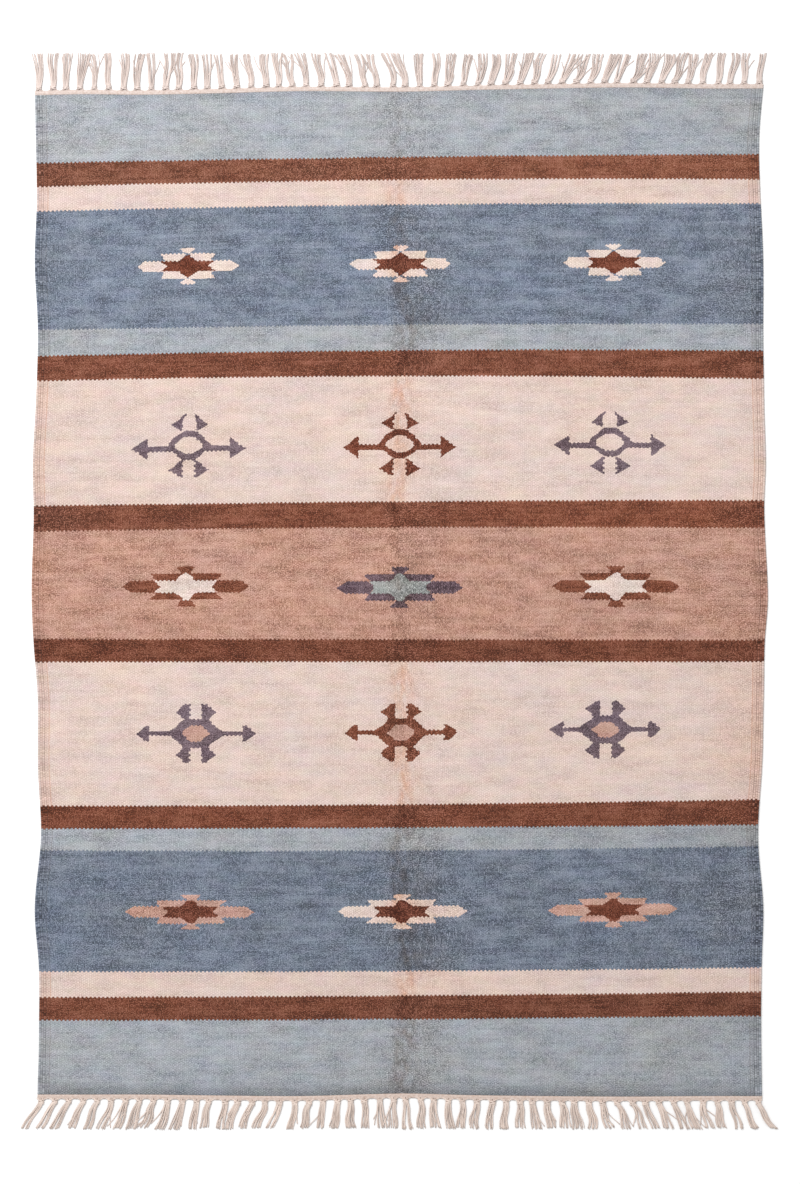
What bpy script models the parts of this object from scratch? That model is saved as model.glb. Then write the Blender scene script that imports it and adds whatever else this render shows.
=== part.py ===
"""A flat-woven kilim rug with a knotted fringe at each end.

Units are metres and +Z is up. +X runs across the rug, +Y along its length, and the origin is on
the floor under the middle of the whole rug. Three solids make it:

  woven_field            the cloth itself, flat on the floor, with a corded selvedge at each side
  heading_fringe_top     the plain heading at the +Y end, with the warps knotted into tassels
  heading_fringe_bottom  the same at the -Y end

Each tassel is a raised knot and two or three locks of warp yarn that lie on the floor.
"""

import random
from typing import NamedTuple

import bmesh
import bpy

MM = 0.001

# Driving dimensions
FIELD_THICKNESS = 3.6 * MM
HEADING_WIDTH = 9.0 * MM        # plain weave between the coloured field and the knots
HEADING_THICKNESS = 3.0 * MM
PIECE_GAP = 0.3 * MM            # between the field and each heading
EDGE_INSET = 1.5 * MM           # the underside starts this far inside the outline
FIELD_ROWS = 30                 # lines of points along the length
FIELD_COLUMNS = 12              # steps across, between the selvedges

CREASE_ACROSS = 5.0 * MM        # the old fold line, a shallow trough along the middle
CREASE_HALF_WIDTH = 9.0 * MM
CREASE_DEPTH = 0.7 * MM

TASSELS_PER_END = 52
TASSEL_MARGIN = 7.0 * MM        # from the heading's corner to the first tassel's middle
ROOT_DRIFT = 2.6 * MM           # how unevenly the tassels are spaced
LEAN_DRIFT = 5.0 * MM           # how unevenly they lean
SPLAY_DRIFT = 0.18              # how unevenly they spread, as a share
LENGTH_DRIFT = 1.6 * MM         # how unevenly they are trimmed
NECK_WIDTH = 9.0 * MM
KNOT_DRIFT = 0.10
LOCK_ROOT_GAP = 0.9 * MM
LOCK_TIP_WIDTH = 4.2 * MM
LOCK_TIP_GAP = 1.0 * MM
LOCK_ROUNDING = 0.62            # width of a lock's top face, as a share of its base
THREE_LOCK_SPLAY = 16.0 * MM    # tassels that spread wider than this show three locks
LOCK_STEPS = 3
LOCK_BEND = 1.35                # over 1: straight at the root, then bending to its lean
LEVEL = 0.01 * MM               # heights closer than this are the same

COLLECTION = "kilim_rug"


class Rim(NamedTuple):
    """How far the two long edges lie from the middle line, in mm."""

    along: float
    left: float
    right: float


class End(NamedTuple):
    """Where the coloured field ends, in mm from the rug's middle."""

    across: float
    top: float
    bottom: float


class Profile(NamedTuple):
    """The selvedge's cross-section, in mm in from the edge and up from the floor."""

    inset: float
    height: float


class Lie(NamedTuple):
    """How the tassels near a place lie: sideways reach and spread at the tips, in mm."""

    across: float
    lean: float
    splay: float


class Knot(NamedTuple):
    """A knot's section, in mm out from the heading, and its width and height."""

    out: float
    width: float
    height: float


RIMS = (
    Rim(-985, 698, 699),
    Rim(-864, 695, 697),
    Rim(-725, 695, 698),
    Rim(-609, 703, 701),
    Rim(-470, 691, 691),
    Rim(-332, 697, 699),
    Rim(-208, 697, 702),
    Rim(-100, 705, 704),
    Rim(-8, 709, 710),
    Rim(154, 705, 703),
    Rim(247, 707, 706),
    Rim(362, 701, 703),
    Rim(501, 697, 701),
    Rim(640, 703, 701),
    Rim(756, 699, 696),
    Rim(871, 701, 693),
    Rim(985, 703, 702),
)

ENDS = (
    End(-702, 957, -968),
    End(-616, 959, -968),
    End(-500, 958, -968),
    End(-346, 961, -970),
    End(-192, 965, -971),
    End(5, 964, -966),
    End(136, 967, -969),
    End(290, 970, -971),
    End(444, 972, -972),
    End(598, 970, -971),
    End(702, 970, -971),
)

# Thick edge warps make a cord, and the first ordinary warp pulls a groove beside it.
SELVEDGE = (
    Profile(0.0, 2.2),
    Profile(3.0, 4.5),
    Profile(11.5, 4.5),
    Profile(15.5, 3.0),
    Profile(19.5, 3.6),
)

KNOT_SECTIONS = (
    Knot(1.8, 12.4, 6.2),
    Knot(7.0, 12.4, 6.2),
    Knot(9.2, 10.4, 4.4),
)


class Fringe(NamedTuple):
    """One end of the rug."""

    name: str
    edge: str          # the column of ENDS that it starts from
    outward: int       # +1 at the +Y end, -1 at the -Y end
    trim: float        # where the tips are cut off, in mm from the rug's middle
    seed: int
    lies: tuple


FRINGES = (
    Fringe("heading_fringe_top", "top", 1, 1038, 11, (
        Lie(-702, -5, 15),
        Lie(-655, 6, 20),
        Lie(-570, 1, 15),
        Lie(-400, 2, 17),
        Lie(-330, -4, 18),
        Lie(-200, -8, 18),
        Lie(-60, -16, 15),
        Lie(20, -14, 15),
        Lie(70, 8, 16),
        Lie(180, 8, 16),
        Lie(300, 19, 18),
        Lie(480, 18, 19),
        Lie(560, 13, 16),
        Lie(640, 8, 13),
        Lie(702, 12, 18),
    )),
    Fringe("heading_fringe_bottom", "bottom", -1, 1034, 29, (
        Lie(-702, -31, 12),
        Lie(-600, -24, 14),
        Lie(-480, -17, 18),
        Lie(-350, -13, 13),
        Lie(-200, -14, 13),
        Lie(-110, -4, 13),
        Lie(-40, 2, 17),
        Lie(60, 2, 19),
        Lie(180, -2, 14),
        Lie(260, 6, 17),
        Lie(380, 10, 19),
        Lie(480, 20, 16),
        Lie(560, 18, 19),
        Lie(640, 13, 14),
        Lie(702, 32, 12),
    )),
)


class Yarn(NamedTuple):
    """A material's colour (linear), and how rough it is."""

    name: str
    colour: tuple
    roughness: float


WEFT_YARN = Yarn("weft_yarn", (0.31, 0.24, 0.22, 1.0), 0.92)
WARP_YARN = Yarn("warp_yarn", (0.72, 0.55, 0.47, 1.0), 0.88)


def smooth(table, position, column, at):
    """Read a table's column, in metres, from a smooth curve through its rows."""
    rows = [(getattr(row, position) * MM, getattr(row, column) * MM) for row in table]
    last = len(rows) - 1
    low = max(index for index in range(last) if index == 0 or rows[index][0] <= at)
    (start, first), (stop, second) = rows[low], rows[low + 1]
    before, after = rows[max(low - 1, 0)], rows[min(low + 2, last)]
    span = stop - start
    share = min(max((at - start) / span, 0.0), 1.0)
    slope_in = (second - before[1]) / (stop - before[0]) * span
    slope_out = (after[1] - first) / (after[0] - start) * span
    rise = share * share * (3.0 - 2.0 * share)
    ease_in = share * (1.0 - share) ** 2
    ease_out = share * share * (1.0 - share)
    return first + (second - first) * rise + slope_in * ease_in - slope_out * ease_out


def blend(start, stop, share):
    return start + (stop - start) * share


def rug_material(yarn):
    material = bpy.data.materials.new(yarn.name)
    material.use_nodes = True
    shader = material.node_tree.nodes["Principled BSDF"]
    shader.inputs["Base Color"].default_value = yarn.colour
    shader.inputs["Roughness"].default_value = yarn.roughness
    shader.inputs["Metallic"].default_value = 0.0
    return material


def add_object(name, bm, material, collection):
    bmesh.ops.recalc_face_normals(bm, faces=bm.faces[:])
    mesh = bpy.data.meshes.new(name)
    bm.to_mesh(mesh)
    bm.free()
    mesh.materials.append(material)
    obj = bpy.data.objects.new(name, mesh)
    collection.objects.link(obj)
    return obj


def flat_slab(columns, rows, place):
    """A closed slab from a grid. place(column, row) gives a top point and its point below."""
    bm = bmesh.new()
    bmesh.ops.create_grid(bm, x_segments=columns - 1, y_segments=rows - 1, size=0.5)
    spots = {}
    for vert in bm.verts:
        column = round((vert.co.x + 0.5) * (columns - 1))
        row = round((vert.co.y + 0.5) * (rows - 1))
        spots[vert] = place(column, row)
        vert.co = spots[vert][0]
    lower = {tuple(vert.co): below for vert, (top, below) in spots.items()}
    result = bmesh.ops.extrude_face_region(bm, geom=bm.faces[:])
    for item in result["geom"]:
        if isinstance(item, bmesh.types.BMVert):
            item.co = lower[tuple(item.co)]
    return bm


def field_columns():
    """Places across the field: (share of the width, inset from an edge, height)."""
    left = [(0.0, row.inset * MM, row.height * MM) for row in SELVEDGE]
    right = [(1.0, -inset, height) for share, inset, height in reversed(left)]
    crease = 0.5 + CREASE_ACROSS / (RIMS[0].left + RIMS[0].right) / MM
    middle = [
        (step / FIELD_COLUMNS, 0.0, FIELD_THICKNESS)
        for step in range(1, FIELD_COLUMNS)
        if step != FIELD_COLUMNS // 2
    ]
    middle += [
        (crease, -CREASE_HALF_WIDTH, FIELD_THICKNESS),
        (crease, 0.0, FIELD_THICKNESS - CREASE_DEPTH),
        (crease, CREASE_HALF_WIDTH, FIELD_THICKNESS),
    ]
    return left + sorted(middle) + right


def field_point(columns, column, row):
    """A place on the cloth. The long edges and the ends wander as the weaver's tension did."""
    share, inset, height = columns[column]
    across = blend(-RIMS[0].left, RIMS[0].right, share) * MM + inset
    top = smooth(ENDS, "across", "top", across)
    bottom = smooth(ENDS, "across", "bottom", across)
    y = blend(bottom, top, row / (FIELD_ROWS - 1))
    left = -smooth(RIMS, "along", "left", y)
    right = smooth(RIMS, "along", "right", y)
    x = blend(left, right, share) + inset
    under_x = min(max(x, left + EDGE_INSET), right - EDGE_INSET)
    return (x, y, height), (under_x, y, 0.0)


def make_field():
    columns = field_columns()
    return flat_slab(len(columns), FIELD_ROWS, lambda *spot: field_point(columns, *spot))


def end_line(row):
    """The field's outline along one end, as (x, y) points from left to right."""
    columns = field_columns()
    return [field_point(columns, column, row)[0][:2] for column in range(len(columns))]


def on_line(points, x):
    """The line's y at x, straight between its points."""
    index = max(place for place in range(len(points) - 1) if place == 0 or points[place][0] <= x)
    (x0, y0), (x1, y1) = points[index], points[index + 1]
    return blend(y0, y1, (x - x0) / (x1 - x0))


class Tassel(NamedTuple):
    root: float
    size: float
    tips: list
    reach: float


def plan_tassels(fringe, left, right):
    """Where each tassel starts and where its locks end, in order along the heading."""
    draw = random.Random(fringe.seed)
    first = left + TASSEL_MARGIN
    pitch = (right - left - 2.0 * TASSEL_MARGIN) / (TASSELS_PER_END - 1)
    reached = 2.0 * left
    plan = []
    for index in range(TASSELS_PER_END):
        drift = draw.uniform(-ROOT_DRIFT, ROOT_DRIFT)
        inner = 0 < index < TASSELS_PER_END - 1
        root = first + index * pitch + (drift if inner else 0.0)
        lean = smooth(fringe.lies, "across", "lean", root) + draw.uniform(-LEAN_DRIFT, LEAN_DRIFT)
        splay = smooth(fringe.lies, "across", "splay", root)
        splay *= draw.uniform(1.0 - SPLAY_DRIFT, 1.0 + SPLAY_DRIFT)
        size = draw.uniform(1.0 - KNOT_DRIFT, 1.0 + KNOT_DRIFT)
        reach = fringe.trim * MM + draw.uniform(-LENGTH_DRIFT, LENGTH_DRIFT)
        locks = 3 if splay > THREE_LOCK_SPLAY else 2
        tips = []
        for lock in range(locks):
            offset = (lock / (locks - 1) - 0.5) * (splay - LOCK_TIP_WIDTH)
            tip = max(root + lean + offset, reached + LOCK_TIP_WIDTH + LOCK_TIP_GAP)
            tips.append(tip)
            reached = tip
        plan.append(Tassel(root, size, tips, reach))
    return plan


def grow(bm, face, middle, y, width, height, rounding):
    """Extrude a four-sided face to a section that stands on the floor, and return that face."""
    centre = face.calc_center_median()
    grown = bmesh.ops.extrude_discrete_faces(bm, faces=[face])["faces"][0]
    for vert in grown.verts:
        side = 1.0 if vert.co.x > centre.x else -1.0
        upper = vert.co.z > centre.z
        half = width / 2.0 * (rounding if upper else 1.0)
        vert.co = (middle + side * half, y, height if upper else 0.0)
    return grown


def split_roots(bm, face, locks):
    """Divide a knot's end into the roots of its locks, with narrow gaps between them."""
    level = [edge for edge in face.edges if abs(edge.verts[0].co.z - edge.verts[1].co.z) < LEVEL]
    before = set(bm.faces) - {face}
    bmesh.ops.subdivide_edges(bm, edges=level, cuts=2 * locks - 2, use_grid_fill=True)
    strips = [item for item in bm.faces if item not in before]
    strips.sort(key=lambda item: item.calc_center_median().x)
    corners = {vert for item in strips for vert in item.verts}
    for upper in (False, True):
        row = [vert for vert in corners if (vert.co.z > LEVEL) == upper]
        row.sort(key=lambda vert: vert.co.x)
        start, stop = row[0].co.x, row[-1].co.x
        root = (stop - start - (locks - 1) * LOCK_ROOT_GAP) / locks
        for index, vert in enumerate(row):
            vert.co.x = start + (index + 1) // 2 * root + index // 2 * LOCK_ROOT_GAP
    return strips[::2]


def add_tassel(bm, wall, tassel, edge_y, fringe):
    """A knot on the heading's outer wall, and the locks that run out of it."""
    face = wall
    for knot in KNOT_SECTIONS:
        y = edge_y + fringe.outward * knot.out * MM
        width = knot.width * tassel.size * MM
        height = knot.height * tassel.size * MM
        face = grow(bm, face, tassel.root, y, width, height, LOCK_ROUNDING)
    roots = split_roots(bm, face, len(tassel.tips))
    for root, tip in zip(roots, tassel.tips):
        xs = sorted(vert.co.x for vert in root.verts)
        start_width = xs[-1] - xs[0]
        start_height = max(vert.co.z for vert in root.verts)
        start = root.calc_center_median().copy()
        face = root
        for step in range(1, LOCK_STEPS + 1):
            share = step / LOCK_STEPS
            bend = share ** LOCK_BEND
            middle = blend(start.x, tip, bend)
            y = blend(start.y, fringe.outward * tassel.reach, share)
            width = blend(start_width, LOCK_TIP_WIDTH, bend)
            height = blend(start_height, HEADING_THICKNESS, share)
            face = grow(bm, face, middle, y, width, height, LOCK_ROUNDING)


def make_fringe(fringe):
    """A heading strip, parted from the field, that carries its tassels in one piece."""
    line = end_line(FIELD_ROWS - 1 if fringe.outward > 0 else 0)
    left, right = line[0][0], line[-1][0]
    plan = plan_tassels(fringe, left, right)
    necks = [(tassel.root - NECK_WIDTH / 2.0, tassel.root + NECK_WIDTH / 2.0) for tassel in plan]
    stops = [left] + [x for neck in necks for x in neck] + [right]

    def place(column, row):
        x = stops[column]
        y = on_line(line, x) + fringe.outward * (HEADING_WIDTH if row else PIECE_GAP)
        return (x, y, HEADING_THICKNESS), (x, y, 0.0)

    bm = flat_slab(len(stops), 2, place)
    walls = {}
    for face in bm.faces:
        centre = face.calc_center_median()
        from_field = fringe.outward * (centre.y - on_line(line, centre.x))
        upright = LEVEL < centre.z < HEADING_THICKNESS - LEVEL
        outermost = from_field > HEADING_WIDTH - 1.0 * MM
        if upright and outermost:
            walls[face] = centre.x
    for tassel in plan:
        wall = min(walls, key=lambda face: abs(walls[face] - tassel.root))
        edge_y = on_line(line, tassel.root) + fringe.outward * HEADING_WIDTH
        add_tassel(bm, wall, tassel, edge_y, fringe)
        del walls[wall]
    return bm


def stand_on_origin(objects):
    """Move every piece alike, so that the middle of the whole rug is over the origin."""
    corners = [vert.co for obj in objects for vert in obj.data.vertices]
    middle_x = (min(co.x for co in corners) + max(co.x for co in corners)) / 2.0
    middle_y = (min(co.y for co in corners) + max(co.y for co in corners)) / 2.0
    for obj in objects:
        obj.location = (-middle_x, -middle_y, 0.0)


def main():
    for obj in list(bpy.data.objects):
        bpy.data.objects.remove(obj, do_unlink=True)
    collection = bpy.data.collections.new(COLLECTION)
    bpy.context.scene.collection.children.link(collection)
    field = add_object("woven_field", make_field(), rug_material(WEFT_YARN), collection)
    warp = rug_material(WARP_YARN)
    fringes = [add_object(end.name, make_fringe(end), warp, collection) for end in FRINGES]
    stand_on_origin([field] + fringes)


main()
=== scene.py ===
# %% [markdown]
# # A kilim rug, laid flat and seen from above
# A kilim is a flat-woven rug: coloured wool wefts are beaten down so tightly over cotton warps that
# only the wefts show. Its bands, stars and eyes are all made by changing the weft's colour.
# This lesson dresses the plain solids of such a rug: first the frame and the camera, then the cloth
# and its weave, its corded side edges, its headings, and the knotted fringe at each end.

# %% Load the frame
import math
import random
from typing import NamedTuple

import bpy
import numpy as np
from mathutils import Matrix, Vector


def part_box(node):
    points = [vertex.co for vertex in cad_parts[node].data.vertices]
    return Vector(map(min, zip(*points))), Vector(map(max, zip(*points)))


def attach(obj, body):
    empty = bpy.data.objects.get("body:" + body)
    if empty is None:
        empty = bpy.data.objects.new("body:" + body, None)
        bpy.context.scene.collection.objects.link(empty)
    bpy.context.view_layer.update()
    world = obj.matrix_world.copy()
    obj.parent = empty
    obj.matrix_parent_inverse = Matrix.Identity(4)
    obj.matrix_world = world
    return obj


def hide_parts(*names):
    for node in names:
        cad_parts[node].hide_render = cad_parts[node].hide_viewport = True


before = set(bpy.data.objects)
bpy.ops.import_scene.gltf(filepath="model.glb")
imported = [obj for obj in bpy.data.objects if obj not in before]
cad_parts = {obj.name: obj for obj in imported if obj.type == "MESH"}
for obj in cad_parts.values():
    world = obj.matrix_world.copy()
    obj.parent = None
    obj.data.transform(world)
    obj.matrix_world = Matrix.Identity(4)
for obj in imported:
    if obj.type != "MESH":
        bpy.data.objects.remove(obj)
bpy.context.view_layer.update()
print("nodes:", sorted(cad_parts))

# %% [markdown]
# ## Units and helpers
# Every size below is in millimetres, as a weaver would give it, and becomes metres only when a mesh is
# made. Colours are written as sRGB hex codes. They started from averages that a program took of areas in
# a photograph of the real rug, and were changed until the same averages of a render came near them. One
# function turns them to the linear values that a shader needs. The lamps are set a little stronger than
# a plain white needs, so that the floor burns out to white as in a product picture, and the same
# function divides the colours by that surplus.

# %% Units, colours and the one node helper
MM = 0.001
LIGHT_ON_CLOTH = 1.32       # how much brighter the lamps are than a plain white needs


def linear(code):
    """An sRGB hex code as linear red, green, blue and alpha."""
    values = [int(code[at:at + 2], 16) / 255.0 for at in (1, 3, 5)]
    steps = [v / 12.92 if v <= 0.04045 else ((v + 0.055) / 1.055) ** 2.4 for v in values]
    return tuple(step / LIGHT_ON_CLOTH for step in steps) + (1.0,)


def node(tree, kind, *values, **words):
    """Add a shader node. Values feed its inputs in order, Capital words name inputs, others settings."""
    made = tree.nodes.new("ShaderNode" + kind)
    for word, value in words.items():
        if not word[0].isupper():
            setattr(made, word, value)
    live = [socket for socket in made.inputs if socket.enabled]
    pairs = list(zip(live, values))
    for word, value in words.items():
        if word[0].isupper():
            name = word.replace("_", " ")
            pairs.append((next(socket for socket in live if socket.name == name), value))
    for socket, value in pairs:
        if isinstance(value, bpy.types.Node):
            value = next(out for out in value.outputs if out.enabled)
        if isinstance(value, bpy.types.NodeSocket):
            tree.links.new(value, socket)
        else:
            socket.default_value = value
    return made


def start_material(name, roughness, sheen):
    """A material with a bare Principled shader: dull and fuzzy, as yarn is."""
    material = bpy.data.materials.new(name)
    material.use_nodes = True
    shader = material.node_tree.nodes["Principled BSDF"]
    shader.inputs["Roughness"].default_value = roughness
    shader.inputs["Sheen Weight"].default_value = sheen
    shader.inputs["Sheen Roughness"].default_value = 0.5
    shader.inputs["Specular IOR Level"].default_value = 0.25
    return material, shader


print("a mid blue yarn is", [round(value, 3) for value in linear("#787f8e")[:3]])

# %% [markdown]
# ## Meshes from arrays
# A cloth's surface and a yarn are both grids of points: one is a flat grid with two faces, the other
# is a grid rolled into a tube. Numpy places all the points of a grid at once, which stays quick with
# hundreds of thousands of them. Two functions close the grids into solids, and give every face corner
# two sets of flat coordinates: "Weave", in real millimetres, for the pattern, and "OFBake", a unit
# square, for anyone who bakes the finish to a picture.

# %% Slabs
BAKE_MARGIN = 0.01          # a slab's two faces leave this much of the bake square's edge
BAKE_WALL = 0.008           # its walls are unrolled into that margin, and take this much of it


def slab(top, under, weave):
    """A closed slab between two grids of points, rows by columns. Returns points, faces, layers."""
    rows, columns = top.shape[:2]
    ids = np.arange(rows * columns).reshape(rows, columns)
    low = ids + rows * columns
    shares = np.stack(np.meshgrid(np.linspace(BAKE_MARGIN, 1 - BAKE_MARGIN, columns),
                                  np.linspace(BAKE_MARGIN, 1 - BAKE_MARGIN, rows)), axis=-1)

    def quads(a, b, c, d):
        return np.stack([a.ravel(), b.ravel(), c.ravel(), d.ravel()], axis=-1)

    faces = [
        quads(ids[:-1, :-1], ids[:-1, 1:], ids[1:, 1:], ids[1:, :-1]),
        quads(low[:-1, :-1], low[1:, :-1], low[1:, 1:], low[:-1, 1:]),
        quads(low[0, :-1], low[0, 1:], ids[0, 1:], ids[0, :-1]),
        quads(ids[-1, :-1], ids[-1, 1:], low[-1, 1:], low[-1, :-1]),
        quads(low[1:, 0], low[:-1, 0], ids[:-1, 0], ids[1:, 0]),
        quads(low[:-1, -1], low[1:, -1], ids[1:, -1], ids[:-1, -1]),
    ]
    faces = np.concatenate(faces)
    flat = np.concatenate([shares.reshape(-1, 2)] * 2)
    bake = flat[faces]
    # A wall's lower corners move out into the margin, so that the wall keeps some area there.
    wall = np.arange(len(faces)) >= 2 * (rows - 1) * (columns - 1)
    below = faces >= rows * columns
    outward = np.where(bake > 0.5, BAKE_WALL, -BAKE_WALL)
    at_rim = np.isclose(np.minimum(bake, 1 - bake), BAKE_MARGIN)
    bake = bake + np.where(wall[:, None, None] & below[:, :, None] & at_rim, outward, 0.0)
    strings = np.concatenate([weave.reshape(-1, 2)] * 2)[faces]
    points = np.concatenate([top.reshape(-1, 3), under.reshape(-1, 3)])
    return points, faces, {"OFBake": bake, "Weave": strings}


print("a slab's walls take", BAKE_WALL, "of the bake square along each edge")

# %% Tubes
BAKE_GAP = 0.03             # a tube leaves this share of its own part of the bake square on each side
BAKE_CAP = 0.02             # and its flat ends take this share of it
# Round a tube, the weave's coordinate goes from the tube's number to nearly the next one.
ROUND_SHARE = 0.98


def tubes(paths, radii, sides, upright, closed=False, start=0.0):
    """Tubes along paths (tubes, stations, 3). Their rings start at an angle from the side."""
    count, stations = paths.shape[:2]
    if closed:
        ahead, behind = np.roll(paths, -1, axis=1), np.roll(paths, 1, axis=1)
        tangent = ahead - behind
    else:
        tangent = np.gradient(paths, axis=1)
    tangent /= np.linalg.norm(tangent, axis=-1, keepdims=True)
    side = np.cross(np.broadcast_to(np.asarray(upright, float), tangent.shape), tangent)
    side /= np.linalg.norm(side, axis=-1, keepdims=True)
    rise = np.cross(tangent, side)
    angle = start + np.arange(sides) * 2.0 * math.pi / sides
    ring = (side[:, :, None] * np.cos(angle)[:, None] + rise[:, :, None] * np.sin(angle)[:, None])
    points = paths[:, :, None] + ring * radii[:, :, None, None]
    ids = np.arange(count * stations * sides).reshape(count, stations, sides)
    ahead = np.roll(ids, -1, axis=1) if closed else ids[:, 1:]
    here = ids if closed else ids[:, :-1]
    spans = here.shape[1]
    faces = np.stack([here, np.roll(here, -1, axis=2), np.roll(ahead, -1, axis=2), ahead], axis=-1)
    # One small rectangle of the bake square for each tube, in rows and columns.
    across = math.ceil(math.sqrt(count))
    order = np.arange(count)
    corner = np.stack([order % across, order // across], axis=-1) / across
    step, turn = np.meshgrid(np.arange(spans), np.arange(sides), indexing="ij")
    u = np.stack([step, step, step + 1, step + 1], axis=-1) / spans
    v = np.stack([turn, turn + 1, turn + 1, turn], axis=-1) / sides
    local = np.stack([u, v], axis=-1) * (1.0 - 2.0 * BAKE_GAP) / across
    bake = corner[:, None, None, None] + BAKE_GAP / across + local[None]
    length = np.linalg.norm(np.diff(paths, axis=1), axis=-1).sum(axis=1) * (spans / (stations - 1))
    along = u[None] * length[:, None, None, None]
    around = order[:, None, None, None] + ROUND_SHARE * np.broadcast_to(v[None], along.shape)
    weave = np.stack([along, around], axis=-1)
    faces, bake, weave = faces.reshape(-1, 4), bake.reshape(-1, 4, 2), weave.reshape(-1, 4, 2)
    if not closed:
        for ring_ids, flip in ((ids[:, 0], True), (ids[:, -1], False)):
            for at in range(1, sides - 1, 2):
                cap = ring_ids[:, [0, at, at + 1, (at + 2) % sides]]
                faces = np.concatenate([faces, cap[:, ::-1] if flip else cap])
                spot = np.repeat(corner[:, None] + 0.5 / across, 4, axis=1)
                spread = np.array([[0, 0], [1, 0], [1, 1], [0, 1]]) * BAKE_CAP / across
                bake = np.concatenate([bake, spot + spread])
                end = np.stack([np.zeros(count), order + 0.5], axis=-1)
                weave = np.concatenate([weave, np.repeat(end[:, None], 4, axis=1)])
    return points.reshape(-1, 3), faces, {"OFBake": bake, "Weave": weave}


trial = np.array([[(0.0, 0.0, 0.0), (10.0, 0.0, 0.0)]])
print("a short yarn has", len(tubes(trial, np.ones((1, 2)), 6, (0, 0, 1))[1]), "faces")

# %% Joining parts, and making a piece


def join(parts):
    """Several (points, faces, layers) as one. Each keeps an equal stripe of the bake square."""
    points, faces, layers, start = [], [], {"OFBake": [], "Weave": []}, 0
    for index, (some_points, some_faces, some_layers) in enumerate(parts):
        points.append(some_points)
        faces.append(some_faces + start)
        start += len(some_points)
        stripe = some_layers["OFBake"] * (1.0, 1.0 / len(parts)) + (0.0, index / len(parts))
        layers["OFBake"].append(stripe)
        layers["Weave"].append(some_layers["Weave"])
    return (np.concatenate(points), np.concatenate(faces),
            {name: np.concatenate(values) for name, values in layers.items()})


def make_piece(name, parts, material):
    """One mesh object, in metres, from points, faces and layers in millimetres."""
    points, faces, layers = parts
    mesh = bpy.data.meshes.new(name)
    mesh.from_pydata((points * MM).tolist(), [], faces.tolist())
    for layer, values in layers.items():
        mesh.uv_layers.new(name=layer).data.foreach_set("uv", values.astype(np.float32).ravel())
    mesh.shade_smooth()
    mesh.materials.append(material)
    piece = bpy.data.objects.new(name, mesh)
    bpy.context.scene.collection.objects.link(piece)
    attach(piece, "root")
    print(f"{name}: {len(points)} points, {2 * len(faces)} triangles")
    return piece


print("a piece is made in metres: one millimetre is", MM)

# %% [markdown]
# ## The camera
# The rug was pictured from straight above, from far enough away that its edges stay parallel. A long
# lens six metres up does the same. The picture's 1184 pixels of height cover 2283 mm of floor.

# %% Camera
PHOTO_HEIGHT_MM = 2283.0
CAMERA_HEIGHT_MM = 6000.0
SENSOR_MM = 36.0            # along the picture's long side
RUG_MIDDLE = (0.8, -2.0)    # what the picture's middle looks at

camera_data = bpy.data.cameras.new("camera")
camera_data.sensor_width = SENSOR_MM
camera_data.lens = SENSOR_MM * CAMERA_HEIGHT_MM / PHOTO_HEIGHT_MM
camera = bpy.data.objects.new("camera", camera_data)
camera.location = (RUG_MIDDLE[0] * MM, RUG_MIDDLE[1] * MM, CAMERA_HEIGHT_MM * MM)
bpy.context.scene.collection.objects.link(camera)
bpy.context.scene.camera = camera
print("lens:", round(camera_data.lens, 1), "mm")

# %% [markdown]
# ## The rug's outline
# No hand-woven rug is a true rectangle. The weaver pulls some wefts tighter than others, so the long
# edges wander by a centimetre, and the ends and the bands bow. The outline repeats the solid's own
# tables: how far each edge lies from the middle line, and where the coloured field starts and stops.
# The places in them were listed, and at each a program found the edge in the photograph.

# %% Outline tables, in mm
RIM_PLACES = (-985, -864, -725, -609, -470, -332, -208, -100, -8, 154, 247, 362, 501, 640, 756, 871, 985)
RIM_LEFT = (698, 695, 695, 703, 691, 697, 697, 705, 709, 705, 707, 701, 697, 703, 699, 701, 703)
RIM_RIGHT = (699, 697, 698, 701, 691, 699, 702, 704, 710, 703, 706, 703, 701, 701, 696, 693, 702)
END_PLACES = (-702, -616, -500, -346, -192, 5, 136, 290, 444, 598, 702)
END_TOP = (957, 959, 958, 961, 965, 964, 967, 970, 972, 970, 970)
END_BOTTOM = (-968, -968, -968, -970, -971, -966, -969, -971, -972, -971, -971)


def curve(places, values, at):
    """Read a smooth curve through a table's rows, at every place in an array."""
    places, values, at = np.array(places, float), np.array(values, float), np.asarray(at, float)
    last = len(places) - 1
    index = np.clip(np.searchsorted(places, at, side="right") - 1, 0, last - 1)
    before, after = np.maximum(index - 1, 0), np.minimum(index + 2, last)
    span = places[index + 1] - places[index]
    share = np.clip((at - places[index]) / span, 0.0, 1.0)
    slope_in = (values[index + 1] - values[before]) / (places[index + 1] - places[before]) * span
    slope_out = (values[after] - values[index]) / (places[after] - places[index]) * span
    rise = share ** 2 * (3.0 - 2.0 * share)
    bend = slope_in * share * (1.0 - share) ** 2 - slope_out * share ** 2 * (1.0 - share)
    return values[index] + (values[index + 1] - values[index]) * rise + bend


def blend(start, stop, share):
    """Part of the way from one value to another."""
    return start + (stop - start) * share


low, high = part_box("woven_field")
field_shift = np.array([
    (low[0] + high[0]) / 2.0 / MM - (max(RIM_RIGHT) - max(RIM_LEFT)) / 2.0,
    (low[1] + high[1]) / 2.0 / MM - (max(END_TOP) + min(END_BOTTOM)) / 2.0,
    0.0,
])
print("the packed rug lies", field_shift.round(2), "mm from the tables' own middle")
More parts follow.
